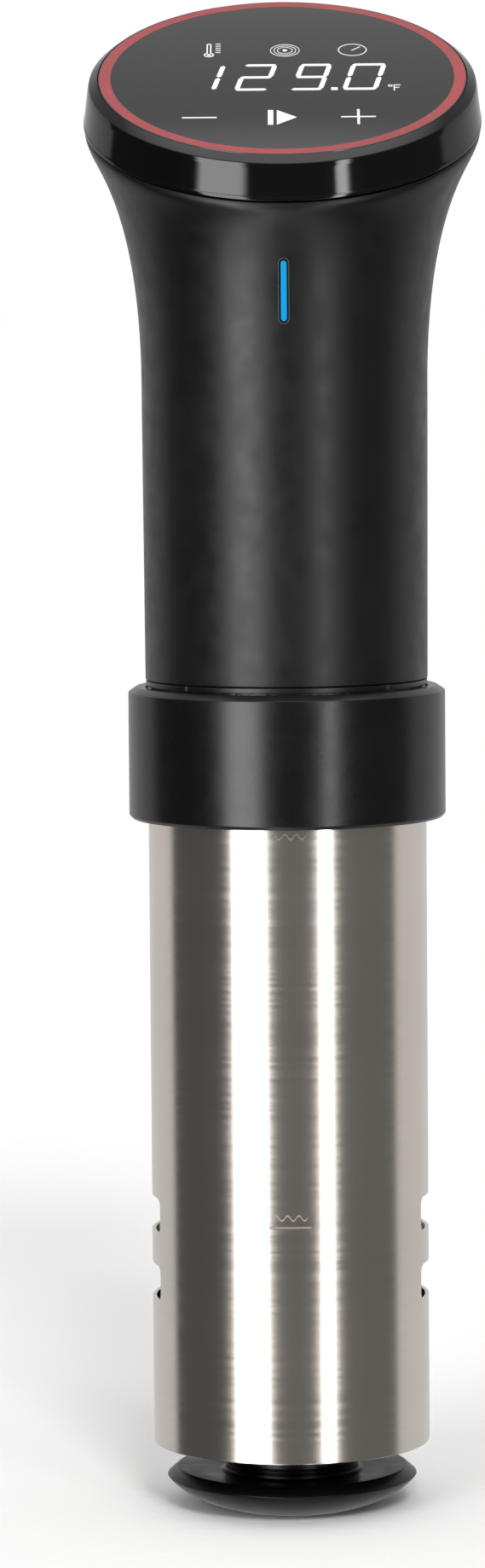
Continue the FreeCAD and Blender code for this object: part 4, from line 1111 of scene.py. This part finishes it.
def make_thumb_screw():
    """Screw with a true helical thread, and its lobed knob."""
    start = low("clamp_screw").y
    end = high("clamp_screw").y
    core = 3.55 * MM
    crest = high("clamp_screw").x - 0.02 * MM
    pitch = 2 * MM
    first = start + 3.2 * MM
    last = low("clamp_knob").y + 1.0 * MM
    segments = 48
    per_turn = 10
    rows = int((last - first) / pitch * per_turn)
    tip_r, shank_r = 2.3 * MM, 3.5 * MM
    point = along_y(SCREW_Z)

    def plain_ring(radius, reach):
        return [point(radius, reach, TURN * k / segments) for k in range(segments)]

    loops = [plain_ring(tip_r, start), plain_ring(tip_r, start + 2.1 * MM)]
    for row in range(rows + 1):
        reach = first + (last - first) * row / rows
        ring = []
        for k in range(segments):
            turn = TURN * k / segments
            phase = ((reach - first) / pitch - k / segments) % 1.0
            tooth = min(1.0, max(0.0, 1.35 - 4.0 * abs(phase - 0.5)))
            fade = min(1.0, row / per_turn, (rows - row) / per_turn + 0.15)
            radius = core + (crest - core) * tooth * fade
            ring.append(point(radius, reach, turn))
        loops.append(ring)
    loops.append(plain_ring(shank_r, end - 4 * MM))
    screw = loops_to_piece("clamp_screw_thread", loops, SCREW_STEEL, closed=False, capped=True, sharp=50)
    place_piece(screw, "thumb_screw", ["clamp_screw"])
    front = low("clamp_knob").y
    back = high("clamp_knob").y
    wide = 14 * MM
    lobe_count, lobe_depth, lobe_root = 8, 1.7 * MM, 8.6 * MM
    outline = softened([
        (0, front + 2.5 * MM, 0), (4.0 * MM, front + 2.5 * MM, 0), (4.0 * MM, front, 0.2 * MM),
        (7.0 * MM, front, 0.6 * MM), (8.5 * MM, front + 2.0 * MM, 0.8 * MM),
        (wide - 0.4 * MM, front + 2.4 * MM, 1.0 * MM), (wide, front + 4.0 * MM, 0.9 * MM),
        (wide, back - 1.2 * MM, 1.2 * MM), (wide - 1.6 * MM, back, 1.0 * MM),
        (8.5 * MM, back, 0.5 * MM), (7.9 * MM, back - 0.5 * MM, 0.3 * MM), (0, back - 0.5 * MM, 0)], 5)

    def lobes(angle, radius, reach):
        wave = max(0.0, math.cos(lobe_count * angle))
        bite = lobe_depth * wave ** 1.5
        weight = min(max((radius - lobe_root) / (wide - lobe_root), 0.0), 1.0)
        return radius - bite * weight

    knob = lathe("clamp_knob_moulding", outline, CLAMP_BLACK, along_y(SCREW_Z), 256, closed=False,
                 shape=lobes, sharp=45)
    place_piece(knob, "thumb_screw", ["clamp_knob"])


# ---------------------------------------------------------------- carried-over CAD nodes

def finish_cad_nodes():
    """Procedural finishes for the pieces kept from the frame."""
    board = moulded("board_mask", (0.02, 0.12, 0.05), 0.4, 0.0006, 0.00002)
    pale = moulded("frame_nylon", (0.5, 0.5, 0.47), 0.5, 0.0005, 0.00001)
    dark = moulded("component_body", (0.03, 0.03, 0.034), 0.45, 0.0004, 0.00001)
    blue = moulded("relay_case", (0.02, 0.06, 0.2), 0.35, 0.0005, 0.00001)
    pump = moulded("pump_nylon", (0.02, 0.02, 0.021), 0.42, 0.0005, 0.000015)
    copper = metal("copper_wire", (0.75, 0.38, 0.2), 0.35, (0.1, 0.1, 1), 0.00003, lines=900)
    bronze = metal("bearing_bronze", (0.6, 0.45, 0.25), 0.4, (1, 1, 1), 0.00001)
    zinc = metal("zinc_plate", (0.55, 0.55, 0.56), 0.35, (1, 1, 0.3), 0.000008)
    finishes = {
        "board_green": board, "frame_plastic": pale, "part_dark": dark, "relay_blue": blue,
        "pump_plastic": pump, "copper_winding": copper, "bearing_bronze": bronze,
        "motor_steel": zinc, "inner_steel": INNER_STEEL, "screw_steel": SCREW_STEEL,
        "seal_rubber": RUBBER, "filter_black": GLASS, "accent_red": RED, "dark_glass": GLASS,
        "handle_black": MATTE_BLACK, "gloss_black": GLOSS_BLACK, "cap_black": CAP_BLACK,
        "clamp_black": CLAMP_BLACK, "ring_black": RING_BLACK, "steel": STEEL,
        "status_blue": LIT_BLUE, "knob_black": CLAMP_BLACK}
    slots = {part["node"]: part["material_slot"] for part in frame["record"]["subparts"]}
    for name, item in frame["nodes"].items():
        item.data.materials.clear()
        item.data.materials.append(finishes[slots[name]])


finish_cad_nodes()
make_handle()
make_status_light()
make_end_ring()
make_gland()
make_band()
make_glass()
make_display()
make_skirt()
make_marks()
make_base_cap()
make_clamp_ring()
make_bracket()
make_bracket_screws()
make_jaw_pad()
make_pressure_pad()
make_thumb_screw()
